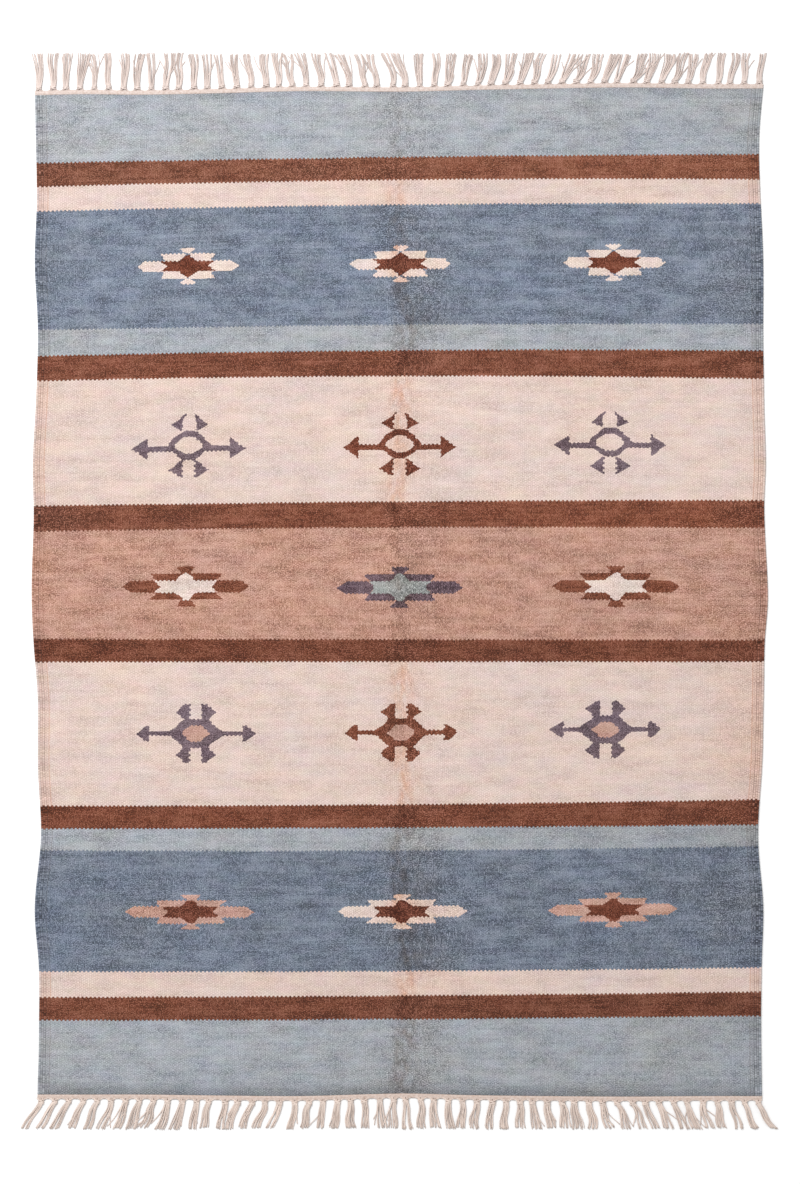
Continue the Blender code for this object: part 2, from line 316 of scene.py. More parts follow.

# %% [markdown]
# ## The bands
# The field is seventeen bands in five colours of wool, and the brown comes in three dye lots. A band's
# edge bows where the weaver beat harder, so each edge has three heights: at the left, in the middle and
# at the right. The place of a thread in the cloth is given by two numbers, across and along, as if the
# cloth were a true rectangle, and one function says where that place lies on the floor. A program found
# the bands' edges in the photograph at eleven places across, and fitted the four heights of each to
# them. They stand below as it printed them. The strengths of the dye lots were set against the
# photograph's average tones at the left and right of each band.

# %% Bands, from the bottom end to the top end


class Band(NamedTuple):
    """A band's wool, the height of its upper edge in mm (mean, left, middle, right), and its lots."""

    wool: str
    upper: float
    left: float
    middle: float
    right: float
    lot_left: float = 1.0       # how strong the dye lot is at the left edge, and at the right
    lot_right: float = 1.0


BANDS = (
    Band("light blue", -822.6, -825.8, -823.4, -817.1, 1.03, 0.93),
    Band("brown", -776.5, -780.4, -777.3, -770.1, 1.02, 0.82),
    Band("pink", -730.0, -731.8, -731.2, -724.4, 1.01, 1.01),
    Band("dark blue", -496.6, -498.0, -498.4, -490.2, 0.98, 0.94),
    Band("light blue", -453.4, -456.4, -453.9, -448.8, 1.05, 0.87),
    Band("deep brown", -408.9, -413.0, -410.3, -400.5, 1.00, 0.95),
    Band("pink", -133.4, -133.9, -133.2, -133.5, 1.00, 1.01),
    Band("deep brown", -91.4, -90.5, -91.4, -92.1, 0.86, 0.90),
    Band("tan", 122.5, 116.5, 124.7, 123.1, 0.97, 0.97),
    Band("brown", 173.3, 166.1, 174.9, 177.3, 0.94, 1.21),
    Band("pink", 412.7, 406.5, 416.0, 410.6, 0.96, 1.03),
    Band("brown", 461.9, 453.5, 464.6, 464.0, 0.97, 1.01),
    Band("light blue", 513.8, 505.8, 515.8, 517.4, 0.96, 0.99),
    Band("dark blue", 743.1, 732.8, 745.6, 748.0, 1.00, 1.03),
    Band("pink", 792.2, 781.7, 795.0, 796.1, 0.97, 0.98),
    Band("worn brown", 837.5, 827.5, 839.0, 844.7, 0.97, 1.27),
    Band("light blue", 964.7, 0.0, 0.0, 0.0, 1.02, 0.95),
)
FIELD_BOTTOM = -969.4
HALF_WIDTH = 700.0


def edge_heights(u):
    """The height of every band edge at each place across, bottom end first and top end last."""
    share = u / HALF_WIDTH
    rows = [curve(END_PLACES, END_BOTTOM, u)]
    for band in BANDS[:-1]:
        tilt = (band.right - band.left) / 2.0
        bow = (band.right + band.left) / 2.0 - band.middle
        rows.append(band.middle + tilt * share + bow * share ** 2)
    rows.append(curve(END_PLACES, END_TOP, u))
    return np.array(rows)


def along_at(u, v):
    """The y of woven places: u across and v along, arrays of one shape."""
    marks = np.array([FIELD_BOTTOM] + [band.upper for band in BANDS])
    index = np.clip(np.searchsorted(marks, v, side="right") - 1, 0, len(marks) - 2)
    share = (v - marks[index]) / (marks[index + 1] - marks[index])
    heights = edge_heights(u.ravel()).reshape((len(marks),) + u.shape)
    start = np.take_along_axis(heights, index[None], axis=0)[0]
    stop = np.take_along_axis(heights, index[None] + 1, axis=0)[0]
    return blend(start, stop, share)


print(len(BANDS), "bands; the field is", round(BANDS[-1].upper - FIELD_BOTTOM), "mm long")

# %% [markdown]
# ## The cloth
# The warps lie under the wefts as fine ribs, 4.07 mm apart, the same on both faces. Cloth simulation
# would add nothing to a rug that lies flat, so the ribs, the slight swell of the cloth and the old
# fold along its middle are placed by formula on a grid with two columns of points to each rib.

# %% The woven field
RIB = 4.07                  # one warp and the wefts over it
CORD_INSET = 13.4           # the side cords take this much of each edge
FIELD_RIBS = 341            # between the side cords
FIELD_HALF = FIELD_RIBS * RIB / 2.0
FIELD_TOP = 3.6             # the cloth's thickness
RIB_RELIEF = 0.11           # half of what a rib rises over the furrow beside it
ROW_STEP = 33.0             # how far apart the grid's rows are, at most
CREASE_ACROSS = 5.0         # where the old fold lies, how wide it is and how deep
CREASE_WIDTH = 6.5
CREASE_DEPTH = 0.5
SWELL = 0.22                # how much the cloth's long waves lift it


def swell(u, v):
    """How far the cloth lifts from the floor, in mm: waves 40 cm and more from crest to crest."""
    wave = np.sin(u / 118.0 + 0.8 * np.sin(v / 260.0)) * np.sin(v / 152.0 + 1.1)
    ripple = 0.5 * np.sin(v / 61.0 + u / 400.0) * np.sin(u / 210.0 + 2.0)
    return SWELL * (1.5 + wave + ripple)


def field_x(share, y):
    """The x of a place across the field, between the side cords."""
    left = CORD_INSET - curve(RIM_PLACES, RIM_LEFT, y)
    right = curve(RIM_PLACES, RIM_RIGHT, y) - CORD_INSET
    return blend(left, right, share)


def woven_field():
    """The field as a slab. Every band's edge is a row of its grid."""
    marks = [FIELD_BOTTOM] + [band.upper for band in BANDS]
    rows = []
    for start, stop in zip(marks, marks[1:]):
        steps = math.ceil((stop - start) / ROW_STEP)
        rows += [blend(start, stop, step / steps) for step in range(steps)]
    rows.append(marks[-1])
    columns = np.linspace(-FIELD_HALF, FIELD_HALF, 2 * FIELD_RIBS + 1)
    u, v = np.meshgrid(columns, rows)
    share = (u + FIELD_HALF) / (2.0 * FIELD_HALF)
    y = along_at(u, v)
    x = field_x(share, y)
    crest = np.where(np.arange(len(columns)) % 2 == 1, RIB_RELIEF, -RIB_RELIEF)
    lift = swell(u, v)
    crease = CREASE_DEPTH * np.exp(-((u - CREASE_ACROSS) / CREASE_WIDTH) ** 2)
    top = np.stack([x, y, FIELD_TOP + crest + lift - crease], axis=-1) + field_shift
    under = np.stack([x, y, RIB_RELIEF - crest + lift], axis=-1) + field_shift
    return slab(top, under, np.stack([u, v], axis=-1))


field_parts = woven_field()
print("field grid:", len(field_parts[0]), "points")

# %% [markdown]
# ## Dyed wool weft
# The weft is hand-spun wool, dyed in small lots and beaten down hard: dull and chalky, with no shine
# and a slight fuzz. What the eye sees is small bright beads, where a weft rises over a warp, set like
# bricks: each rib's beads sit half a bead along from its neighbour's. A colour change can only fall
# between beads, so every band edge is finely toothed and every slanting edge is stepped. A picture of
# the pattern would blur that in a close view. The shader works the weave out instead: it finds the
# bead that a point lies in, and looks the colour up at that bead's middle.

# %% The wools


class Wool(NamedTuple):
    """A wool's colour and, for a band, how uneven its dye and spinning look."""

    code: str
    uneven: float = 1.0


WOOLS = {
    # The bands: two faded blues, three lots of the same warm brown, a pale pink and a tan.
    "light blue": Wool("#aaaeb4", 0.85),
    "dark blue": Wool("#788191", 0.9),
    "brown": Wool("#7d4731", 0.66),
    "worn brown": Wool("#7d4b36", 0.66),
    "deep brown": Wool("#7d452e", 0.66),
    "pink": Wool("#e4cdc3", 0.70),
    "tan": Wool("#c49684", 1.05),
    # The figures' own, from other small lots.
    "cream": Wool("#e7d3c9"),
    "dark brown": Wool("#743c27"),
    "pale tan": Wool("#c89e8f"),
    "purple grey": Wool("#75626a"),
    "plum grey": Wool("#68525a"),
    "blue grey": Wool("#9da09f"),
}
BEAD_ALONG = 4.76           # two picks: one over this warp, one under it
print(len(WOOLS), "wools; a bead is", RIB, "by", BEAD_ALONG, "mm")

# %% [markdown]
# ## Charts for the motifs
# The stars and eyes are traditional kilim figures, the same left and right. A weaver keeps such a figure
# as a chart, and so does this lesson. A chart holds four outlines of a figure, each as a few corners
# (height, reach): how far out its core goes, where its arm starts and stops, and how long its arrowhead
# is. The stars and the thick eye are the same above and below too, so half of each is enough. All are in
# millimetres, read off enlarged pieces of the photograph with a 10 mm grid laid over them. A row of the
# rug has three figures: each sits a little off its place, as it was woven by hand, and the middle one
# has other colours. Their middles come from a program that moved a render over the photograph to the
# best match.

# %% Charts of the stars


class Chart(NamedTuple):
    """A figure's outlines, each as corners (height above its middle, reach), in mm."""

    core: tuple
    start: tuple
    stop: tuple
    arrow: tuple = ((0.0, 0.0),)


def mirrored(*corners):
    """The same outline below the middle as above it."""
    return tuple((-height, reach) for height, reach in reversed(corners)) + corners


STAR_TOP = Chart(
    core=mirrored((0.3, 40.5), (3.0, 44.5), (9.6, 53.5), (9.9, 18.0), (21.8, 2.0), (22.1, 0.0)),
    start=mirrored((0.3, 40.5), (3.0, 44.5), (9.6, 53.5), (9.9, 18.0), (21.8, 3.0), (24.1, 4.0),
                   (24.4, 0.0)),
    stop=mirrored((0.3, 98.5), (3.0, 93.5), (10.2, 86.0), (10.5, 45.0), (24.1, 53.5), (24.4, 2.5),
                  (32.5, 16.0), (34.8, 13.0), (35.1, 0.0)),
)
STAR_MIDDLE = Chart(
    core=mirrored((0.3, 49.0), (3.0, 52.0), (11.7, 59.5), (12.0, 19.0), (17.0, 13.0), (22.0, 9.0),
                  (26.3, 4.0), (26.6, 0.0)),
    start=mirrored((0.3, 49.0), (3.0, 52.0), (11.7, 61.0), (12.0, 19.0), (17.0, 13.0), (22.0, 9.0),
                   (26.3, 4.0), (26.6, 0.0)),
    stop=mirrored((0.3, 122.0), (3.0, 118.0), (11.7, 104.5), (12.0, 57.5), (25.2, 70.0), (25.5, 8.0),
                  (38.9, 19.0), (39.2, 0.0)),
)
STAR_BOTTOM_CORE = mirrored((0.3, 43.5), (3.0, 46.5), (10.3, 56.0), (10.6, 17.5), (21.8, 6.0),
                            (22.1, 0.0))
STAR_BOTTOM = Chart(
    core=STAR_BOTTOM_CORE,
    start=STAR_BOTTOM_CORE,
    stop=mirrored((0.3, 126.0), (3.0, 120.0), (10.6, 109.0), (10.9, 58.5), (22.3, 68.0), (22.6, 7.0),
                  (30.0, 16.5), (33.2, 18.0), (33.5, 0.0)),
)
print("the longest star reaches", max(reach for _, reach in STAR_BOTTOM.stop), "mm from its middle")

# %% Charts of the eyes
EYE_THICK = Chart(
    core=mirrored((0.5, 26.5), (5.0, 22.5), (10.0, 16.5), (15.0, 10.0), (15.3, 0.0)),
    start=mirrored((0.5, 26.5), (5.0, 22.5), (10.0, 16.5), (15.0, 10.0), (15.3, 0.0), (27.3, 0.0),
                   (27.6, 11.5)),
    stop=mirrored((4.0, 94.0), (4.3, 51.0), (10.0, 43.0), (20.0, 31.0), (27.3, 24.0), (27.6, 24.5),
                  (33.0, 31.0), (40.0, 40.0), (48.0, 30.0), (55.5, 21.0), (55.8, 0.0)),
    arrow=mirrored((0.5, 26.0), (10.0, 14.0), (15.0, 5.5), (15.3, 0.0)),
)
EYE_THIN = Chart(
    core=((-28.3, 0.0),),
    start=((-28.3, 12.0), (-28.0, 0.0), (-16.3, 0.0), (-16.0, 8.0), (-9.0, 21.0), (-3.0, 28.0),
           (1.5, 26.5), (6.5, 22.0), (16.0, 8.5), (16.3, 0.0), (28.0, 0.0), (28.3, 12.5),
           (44.0, 14.5), (59.5, 7.5)),
    stop=((-61.3, 0.0), (-61.0, 15.0), (-46.5, 40.0), (-43.0, 33.0), (-28.3, 15.0), (-28.0, 9.0),
          (-24.0, 17.0), (-12.0, 31.0), (-11.7, 94.0), (-1.3, 94.0), (-1.0, 42.5), (5.0, 38.0),
          (20.0, 23.0), (28.0, 11.0), (28.3, 15.5), (39.0, 37.0), (43.0, 30.5), (59.5, 10.5),
          (59.8, 0.0)),
    arrow=((-28.0, 0.0), (-24.0, 5.0), (-12.0, 20.0), (-6.5, 31.0), (1.5, 18.0), (12.0, 4.0),
           (16.0, 0.0)),
)
CHART_HEIGHT = 64.0         # the tallest figure's half height, and a margin
CHART_REACH = 128.0         # the longest figure's half length, and a margin


def chart_stops(chart):
    """A chart as ramp stops: its four outlines, read at the height of every corner of any of them."""
    heights = sorted({height for outline in chart for height, _ in outline})
    columns = [np.interp(heights, *zip(*outline)) / CHART_REACH for outline in chart]
    return [(0.5 + height / (2.0 * CHART_HEIGHT), *reaches)
            for height, *reaches in zip(heights, *columns)]


print("corners in the middle star's chart:", len(chart_stops(STAR_MIDDLE)))

# %% Rows of figures, from the bottom end to the top end


class Row(NamedTuple):
    """Three figures: their middles, how far out their arrowheads are, wools (arm, core), and chart."""

    middles: tuple
    backs: tuple
    outer: tuple
    centre: tuple
    chart: Chart


NO_ARROWS = (200.0, 200.0, 200.0)       # further out than any chart reaches
ROWS = (
    Row(((-405.5, -614.2), (5.7, -614.3), (416.1, -614.6)), NO_ARROWS,
        ("pale tan", "dark brown"), ("cream", "dark brown"), STAR_BOTTOM),
    Row(((-399.2, -270.8), (1.0, -270.1), (400.5, -266.6)), (91.0, 84.0, 82.0),
        ("purple grey", "pale tan"), ("deep brown", "pale tan"), EYE_THICK),
    Row(((-410.8, 11.0), (0.6, 7.8), (416.2, 10.0)), NO_ARROWS,
        ("deep brown", "cream"), ("plum grey", "blue grey"), STAR_MIDDLE),
    Row(((-407.0, 284.4), (0.9, 283.3), (407.2, 286.1)), (79.0, 79.5, 78.5),
        ("purple grey", "pink"), ("dark brown", "pink"), EYE_THIN),
    Row(((-410.1, 631.3), (2.7, 630.1), (418.1, 630.4)), NO_ARROWS,
        ("cream", "dark brown"), ("cream", "dark brown"), STAR_TOP),
)
ROW_LIMITS = (-441.0, -131.0, 144.0, 456.0)     # heights between one row's figures and the next's
FIGURE_SPACING = 205.0                          # half the way from one figure of a row to the next
print(3 * len(ROWS), "figures; corners in their charts:", [len(chart_stops(row.chart)) for row in ROWS])

# %% [markdown]
# ## Figures in the shader
# A point is first sorted into one of the five rows, by its height on the rug. A ramp across the rug
# then says which of that row's three figures is nearest, where its middle is and what its wools are.
# Another ramp is the chart: read at the point's height above the figure's middle, its red, green,
# blue and alpha are the four outlines there, to be compared with how far out the point lies. A ramp
# holds only 256 steps, which is plenty for a figure and too few for the bands' sharp edges in two
# metres of rug, so the bands are a chain of comparisons.

# %% Ramps and rows
SPAN = 1440.0               # the width that a ramp across the rug covers


def set_ramp(ramp, stops, interpolation):
    """Give a colour ramp its stops: (place from 0 to 1, red, green, blue, alpha)."""
    ramp.interpolation = interpolation
    while len(ramp.elements) > 1:
        ramp.elements.remove(ramp.elements[-1])
    ramp.elements[0].position = stops[0][0]
    ramp.elements[0].color = stops[0][1:]
    for place, *values in stops[1:]:
        ramp.elements.new(place).color = values


def across_ramp(tree, share, left, middle, right):
    """A colour that is one for the left figure, another for the middle, another for the right."""
    reach = FIGURE_SPACING / SPAN
    made = node(tree, "ValToRGB", share)
    stops = [(0.0, *left), (0.5 - reach, *middle), (0.5 + reach, *right)]
    set_ramp(made.color_ramp, stops, "CONSTANT")
    return made


def pick_row(tree, v, choices):
    """One of five colours or values, by the row of figures that the height v is in."""
    picked = choices[0]
    for limit, choice in zip(ROW_LIMITS, choices[1:]):
        above = node(tree, "Math", v, limit, operation="GREATER_THAN")
        data_type = "FLOAT" if isinstance(choice, bpy.types.NodeSocket) else "RGBA"
        picked = node(tree, "Mix", above, picked, choice, data_type=data_type)
    return picked


def between(tree, low, value, high):
    """1 where a value lies between two others, else 0."""
    above = node(tree, "Math", value, low, operation="GREATER_THAN")
    below = node(tree, "Math", value, high, operation="LESS_THAN")
    return node(tree, "Math", above, below, operation="MULTIPLY")


print("a ramp across the rug has a step each", SPAN / 256, "mm")

# %% Figures


def nearest_figure(tree, share, u, v):
    """How far a place is out from the nearest figure's middle line and above its middle, in mm, and
    how far out that figure's arrowheads start."""
    places = []
    for row in ROWS:
        marks = [(x / SPAN + 0.5, y / SPAN + 0.5, back / SPAN, 1.0)
                 for (x, y), back in zip(row.middles, row.backs)]
        places.append(across_ramp(tree, share, *marks))
    place = node(tree, "SeparateColor", pick_row(tree, v, places))
    x, y, back = (node(tree, "Math", place.outputs[index], SPAN, shift, operation="MULTIPLY_ADD")
                  for index, shift in enumerate((-SPAN / 2.0, -SPAN / 2.0, 0.0)))
    out = node(tree, "Math", u, x, operation="SUBTRACT")
    out = node(tree, "Math", out, operation="ABSOLUTE")
    return out, node(tree, "Math", v, y, operation="SUBTRACT"), back


def read_chart(tree, v, rise):
    """The nearest figure's four outlines at a height above its middle."""
    height = node(tree, "MapRange", rise, -CHART_HEIGHT, CHART_HEIGHT, 0.0, 1.0)
    ramps = [node(tree, "ValToRGB", height) for row in ROWS]
    for row, ramp in zip(ROWS, ramps):
        set_ramp(ramp.color_ramp, chart_stops(row.chart), "LINEAR")
    length = pick_row(tree, v, [ramp.outputs["Alpha"] for ramp in ramps])
    chart = node(tree, "SeparateColor", pick_row(tree, v, ramps))
    return chart.outputs["Red"], chart.outputs["Green"], chart.outputs["Blue"], length


def figure_wool(tree, share, v, part):
    """The wool of the nearest figure's arm (part 0) or core (part 1)."""
    choices = []
    for row in ROWS:
        side, middle = (linear(WOOLS[wools[part]].code) for wools in (row.outer, row.centre))
        choices.append(across_ramp(tree, share, side, middle, side))
    return pick_row(tree, v, choices)


def add_figures(tree, u, v, field_colour):
    """Mix the fifteen figures into the field's colour, looked up at the place (u, v)."""
    share = node(tree, "MapRange", u, -SPAN / 2.0, SPAN / 2.0, 0.0, 1.0)
    out, rise, back = nearest_figure(tree, share, u, v)
    core, start, stop, length = read_chart(tree, v, rise)
    reach = node(tree, "Math", out, CHART_REACH, operation="DIVIDE")
    beyond = node(tree, "Math", out, back, operation="SUBTRACT")
    beyond = node(tree, "Math", beyond, CHART_REACH, operation="DIVIDE")
    arm, arrow = between(tree, start, reach, stop), between(tree, 0.0, beyond, length)
    arm = node(tree, "Math", arm, arrow, operation="MAXIMUM")
    colour = node(tree, "Mix", arm, field_colour, figure_wool(tree, share, v, 0), data_type="RGBA")
    in_core = node(tree, "Math", reach, core, operation="LESS_THAN")
    return node(tree, "Mix", in_core, colour, figure_wool(tree, share, v, 1), data_type="RGBA")


print("a chart's ramp has a step each", 2.0 * CHART_HEIGHT / 256, "mm of height")

# %% [markdown]
# ## Beads and slow drifts
# The beads' brick pattern is two plain grids, one shifted from the other by half a step both ways. A
# point has one candidate in each grid, and its bead is the nearer one. Everything that strays about
# the rug by chance comes from soft noise, read in millimetres so that its grain has a real size.

# %% Beads, drifts and bells


def find_bead(tree, place):
    """The bead that a place lies in: its middle, in beads and in mm, and how far off the place is."""
    cell = (2.0 * RIB, BEAD_ALONG, 1.0)
    half = (0.5, 0.5, 0.0)
    cells = node(tree, "VectorMath", place, cell, operation="DIVIDE")
    even = node(tree, "VectorMath", cells, half, operation="ADD")
    even = node(tree, "VectorMath", even, operation="FLOOR")
    odd = node(tree, "VectorMath", cells, operation="FLOOR")
    odd = node(tree, "VectorMath", odd, half, operation="ADD")
    lengths = []
    for middle in (even, odd):
        away = node(tree, "VectorMath", cells, middle, operation="SUBTRACT")
        away = node(tree, "VectorMath", away, cell, operation="MULTIPLY")
        lengths.append(node(tree, "VectorMath", away, operation="LENGTH").outputs["Value"])
    even_is_nearer = node(tree, "Math", *lengths, operation="LESS_THAN")
    bead = node(tree, "Mix", even_is_nearer, odd, even, data_type="VECTOR")
    middle = node(tree, "VectorMath", bead, cell, operation="MULTIPLY")
    return bead, middle, node(tree, "Math", *lengths, operation="MINIMUM")


def drifting(tree, place, size, most, detail=2.0):
    """Three slow random drifts about nought. size is their grain across and along, in mm."""
    scaled = node(tree, "VectorMath", place, (1.0 / size[0], 1.0 / size[1], 0.0), operation="MULTIPLY")
    cloud = node(tree, "TexNoise", Vector=scaled, Scale=1.0, Detail=detail, noise_dimensions="2D")
    middle = node(tree, "VectorMath", cloud.outputs["Color"], (0.5, 0.5, 0.5), operation="SUBTRACT")
    return node(tree, "VectorMath", middle, most, operation="MULTIPLY")


def drift(tree, place, size, most, detail=2.0):
    """One such drift."""
    return node(tree, "SeparateXYZ", drifting(tree, place, size, (most, 0.0, 0.0), detail))


def changed(tree, colour, change):
    """A colour times one and a change, for each of red, green and blue."""
    factor = node(tree, "VectorMath", change, (1.0, 1.0, 1.0), operation="ADD")
    return node(tree, "VectorMath", colour, factor, operation="MULTIPLY")


def bell(tree, value, width):
    """1 where the value is nought, falling to nothing over a few widths."""
    share = node(tree, "Math", value, width, operation="DIVIDE")
    share = node(tree, "Math", share, share, operation="MULTIPLY")
    share = node(tree, "Math", share, -1.0, operation="MULTIPLY")
    return node(tree, "Math", share, operation="EXPONENT")


beads = 2.0 * FIELD_HALF * (BANDS[-1].upper - FIELD_BOTTOM) / (RIB * BEAD_ALONG)
print("beads in the field: about", round(beads, -3))

# %% [markdown]
# ## Bands, lots and hand
# Each band is one wool, but the bobbins at its two sides were seldom dyed alike, so its strength runs
# from one lot to another across the rug. A figure's edge is looked up between the true place and the
# bead's middle, so it steps finely, and a little off it, as a weaver miscounts a warp now and then.
# Where two colours meet along a warp, their wefts turn round it by turns, which gives an upright edge
# its small teeth.

# %% Where a bead's colour comes from
HAND = ((70.0, 55.0), (1.6, 2.4, 0.0))      # the weave strays: its grain, and how far, in mm
MISCOUNT = ((24.0, 12.0), (3.2, 1.6, 0.0))  # a figure's edge strays further, and faster
TURN_SHIFT = 0.9            # how far by turns two colours reach past the warp that they share
STEPPING = (0.55, 0.5, 0.0)     # how far edges follow the beads, across and along: 1 is wholly


def band_lots(band):
    """A band's two lots and its wool's unevenness, packed as a colour."""
    return band.lot_left, band.lot_right, WOOLS[band.wool].uneven, 1.0


def band_wool(tree, along):
    """The wool of the band that a height is in, and its lots."""
    colour, lots = linear(WOOLS[BANDS[0].wool].code), band_lots(BANDS[0])
    for lower, band in zip(BANDS, BANDS[1:]):
        above = node(tree, "Math", along, lower.upper, operation="GREATER_THAN")
        colour = node(tree, "Mix", above, colour, linear(WOOLS[band.wool].code), data_type="RGBA")
        lots = node(tree, "Mix", above, lots, band_lots(band), data_type="RGBA")
    return colour, node(tree, "SeparateColor", lots)


def figure_place(tree, place, bead, middle):
    """Where a place is looked up in the figures' charts."""
    order = node(tree, "VectorMath", bead, (-math.pi, math.pi, 0.0), operation="DOT_PRODUCT")
    order = node(tree, "Math", order.outputs["Value"], operation="COSINE")
    turn = node(tree, "VectorMath", (TURN_SHIFT, 0.0, 0.0), Scale=order, operation="SCALE")
    stray = node(tree, "VectorMath", drifting(tree, middle, *MISCOUNT), turn, operation="ADD")
    looked = node(tree, "Mix", STEPPING, place, middle, data_type="VECTOR", factor_mode="NON_UNIFORM")
    looked = node(tree, "VectorMath", looked, stray, operation="ADD")
    return node(tree, "SeparateXYZ", looked)


lots = [lot for band in BANDS for lot in (band.lot_left, band.lot_right)]
print("the dye lots run from", min(lots), "to", max(lots), "of their wool's colour")

# %% [markdown]
# ## Tone
# The dye's tint and warmth change slowly over the cloth. Its tone changes at every size: from fleck
# to fleck of the fuzz, bead to bead, pick to pick, bobbin to bobbin and skein to skein. The flecks
# are really under a millimetre and are drawn at two, so that they show at the picture's size. Half of
# a tone's change is the same in red, green and blue, as fuzz and shade are. The other half goes with
# the colour, as dye does, so that dark spots in brown turn neither red nor grey.

# %% Tone
TINT = ((38.0, 20.0), (0.11, 0.11, 0.11))   # its grain in mm, and how much it changes each of RGB
WARMTH_GRAIN = (150.0, 90.0)
WARMTH = (0.09, 0.01, -0.13)
BEAD_GRAIN = 0.04
FLECKS = ((2.3, 1.9), 0.60)     # the wool's fuzz
TONES = (                       # grain across and along, in mm, and amount
    ((110.0, 3.0), 0.13),       # a pick of thicker or darker yarn
    ((50.0, 27.0), 0.17),       # a patch rubbed thin or pressed flat
    ((130.0, 14.0), 0.11),      # a bobbin of yarn
    ((230.0, 60.0), 0.06),      # a skein
)
COARSE = (-0.14, 0.06, 1.75, 0.65)  # the grain is 1.75 strong where the tone is dark, 0.65 where light
GREY_SHARE, DYE_SHARE = 0.45, 0.55
DARK_WOOL_LIMIT = 9.0       # a very dark wool has no room for much change
DARKEST = 0.4               # no fleck is darker than this share of its wool


def dye_drift(tree, cloth, colour):
    """A wool's colour with the slow drift of its tint, and from warm to cool."""
    colour = changed(tree, colour, drifting(tree, cloth, *TINT))
    warmth = drift(tree, cloth, WARMTH_GRAIN, 1.0)
    return changed(tree, colour, node(tree, "VectorMath", WARMTH, Scale=warmth, operation="SCALE"))


def toned(tree, cloth, bead, colour, bright, dust_and_shade, uneven):
    """A wool's colour with its flecks, beads, picks, bobbins and skeins."""
    dye = node(tree, "TexWhiteNoise", Vector=bead, noise_dimensions="2D")
    grain = node(tree, "MapRange", dye, 0.0, 1.0, -BEAD_GRAIN, BEAD_GRAIN)
    grain = node(tree, "Math", grain, drift(tree, cloth, *FLECKS), operation="ADD")
    tone = 0.0
    for size, amount in TONES:
        tone = node(tree, "Math", tone, drift(tree, cloth, size, amount), operation="ADD")
    # Where the wool is darker, or has dust or painted shade on it, its grain shows more.
    coarse = node(tree, "Math", tone, dust_and_shade, operation="SUBTRACT")
    coarse = node(tree, "MapRange", coarse, *COARSE)
    tone = node(tree, "Math", grain, coarse, tone, operation="MULTIPLY_ADD")
    most = node(tree, "Math", bright, DARK_WOOL_LIMIT, operation="MULTIPLY")
    uneven = node(tree, "Math", uneven, most, operation="MINIMUM")
    tone = node(tree, "Math", tone, uneven, operation="MULTIPLY")
    weight = node(tree, "Math", DYE_SHARE, bright, operation="DIVIDE")
    change = node(tree, "VectorMath", colour, Scale=weight, operation="SCALE")
    change = node(tree, "VectorMath", change, (GREY_SHARE,) * 3, operation="ADD")
    change = node(tree, "VectorMath", change, Scale=tone, operation="SCALE")
    least = node(tree, "VectorMath", colour, Scale=DARKEST, operation="SCALE")
    colour = node(tree, "VectorMath", colour, change, operation="ADD")
    return node(tree, "VectorMath", colour, least, operation="MAXIMUM")


print("tones at", len(TONES) + 1, "sizes, from", FLECKS[0][1], "to", TONES[-1][0][0], "mm")

# %% [markdown]
# ## Dust and painted shade: the old fold, stains and the side cords
# The rug was kept folded in two along its length, so a line down its middle is darker: dust has settled
# there, and the crease's shade is painted along it. The line is narrow and patchy on the warm wools. The
# cool ones have held dust much further out, mostly to the right. A few soft stains lie elsewhere, mostly
# near the edges. Shade is painted into the furrow beside the side cords, the inner cords are a little
# darker, and the outermost cord is a little paler. Dust and painted shade are a warm grey, so they take
# more of blue than of red. On the pale wools they look brown. Where they lie and how much was set
# against average tones of the photograph.

# %% Where the dust and painted shade lie
# The colour of dust. The painted shade of the fold's crease and of the cords' furrow takes the same
# colour.
DUST_AND_SHADE = (-0.85, -1.03, -1.15)    # what it takes from each of red, green and blue
PALE_DUST_AND_SHADE = (-0.4, -1.1, -1.5)
PALE = (0.34, 0.46)             # wools are dark below the first brightness, and pale above the second
FOLD_LINE = ((4000.0, 300.0), 60.0)     # its grain and how far it strays, in mm
PATCH_GRAIN = (16.0, 30.0)
PATCH_DETAIL = 5.0
PATCHES = (-0.17, 0.17)         # a patch's noise from its barest to its dustiest
# Along the old fold: dust, and painted shade of its crease.
FOLD_WIDTH, FOLD_DUST_AND_SHADE = 20.0, (0.03, 0.21)
COOL_SHIFT, COOL_WIDTH, COOL_DUST = 27.0, 52.0, (0.035, 0.15)
COOL = (-0.05, 0.04)            # how much more blue than red there is, from warm to cool
COOL_PATCHES = (0.5, 1.5)
FADING = (650.0, 900.0, 1.0, 0.5)       # the fold's dust and painted crease shade are lighter near its top end
# The stains, and the fold's dust and painted shade, show more on dark wool than on pale, and most on
# brown.
WORN = (0.05, 0.5, 1.4, 0.65)   # dust shows more on dark wool than on pale,
DARK_WORN = (0.07, 0.14, 2.2, 1.1)      # and most on brown
STAINS = (                      # middle across and along, half size across and along, how much dust
    ((650.0, -615.0), (80.0, 80.0), 0.13),
    ((-480.0, -640.0), (120.0, 60.0), 0.07),
    ((655.0, 600.0), (60.0, 95.0), 0.09),
    ((670.0, -270.0), (60.0, 160.0), 0.09),
    ((-665.0, 885.0), (50.0, 50.0), 0.08),
    ((-130.0, 815.0), (110.0, 24.0), 0.09),
    ((660.0, 150.0), (50.0, 28.0), 0.11),
    ((-665.0, 150.0), (50.0, 28.0), 0.10),
    ((58.0, -615.0), (85.0, 105.0), 0.10),
)
EDGE_SHADE_AND_TONE = (                   # how far in from the side edge, half width, how much darker (below nought, paler)
    # painted shade in the furrow between the field and the last cord, then a darker band over the inner
    # cords, then a paler outermost cord
    (14.6, 1.2, 0.20),
    (8.5, 5.5, 0.10),
    (1.5, 3.0, -0.04),
)
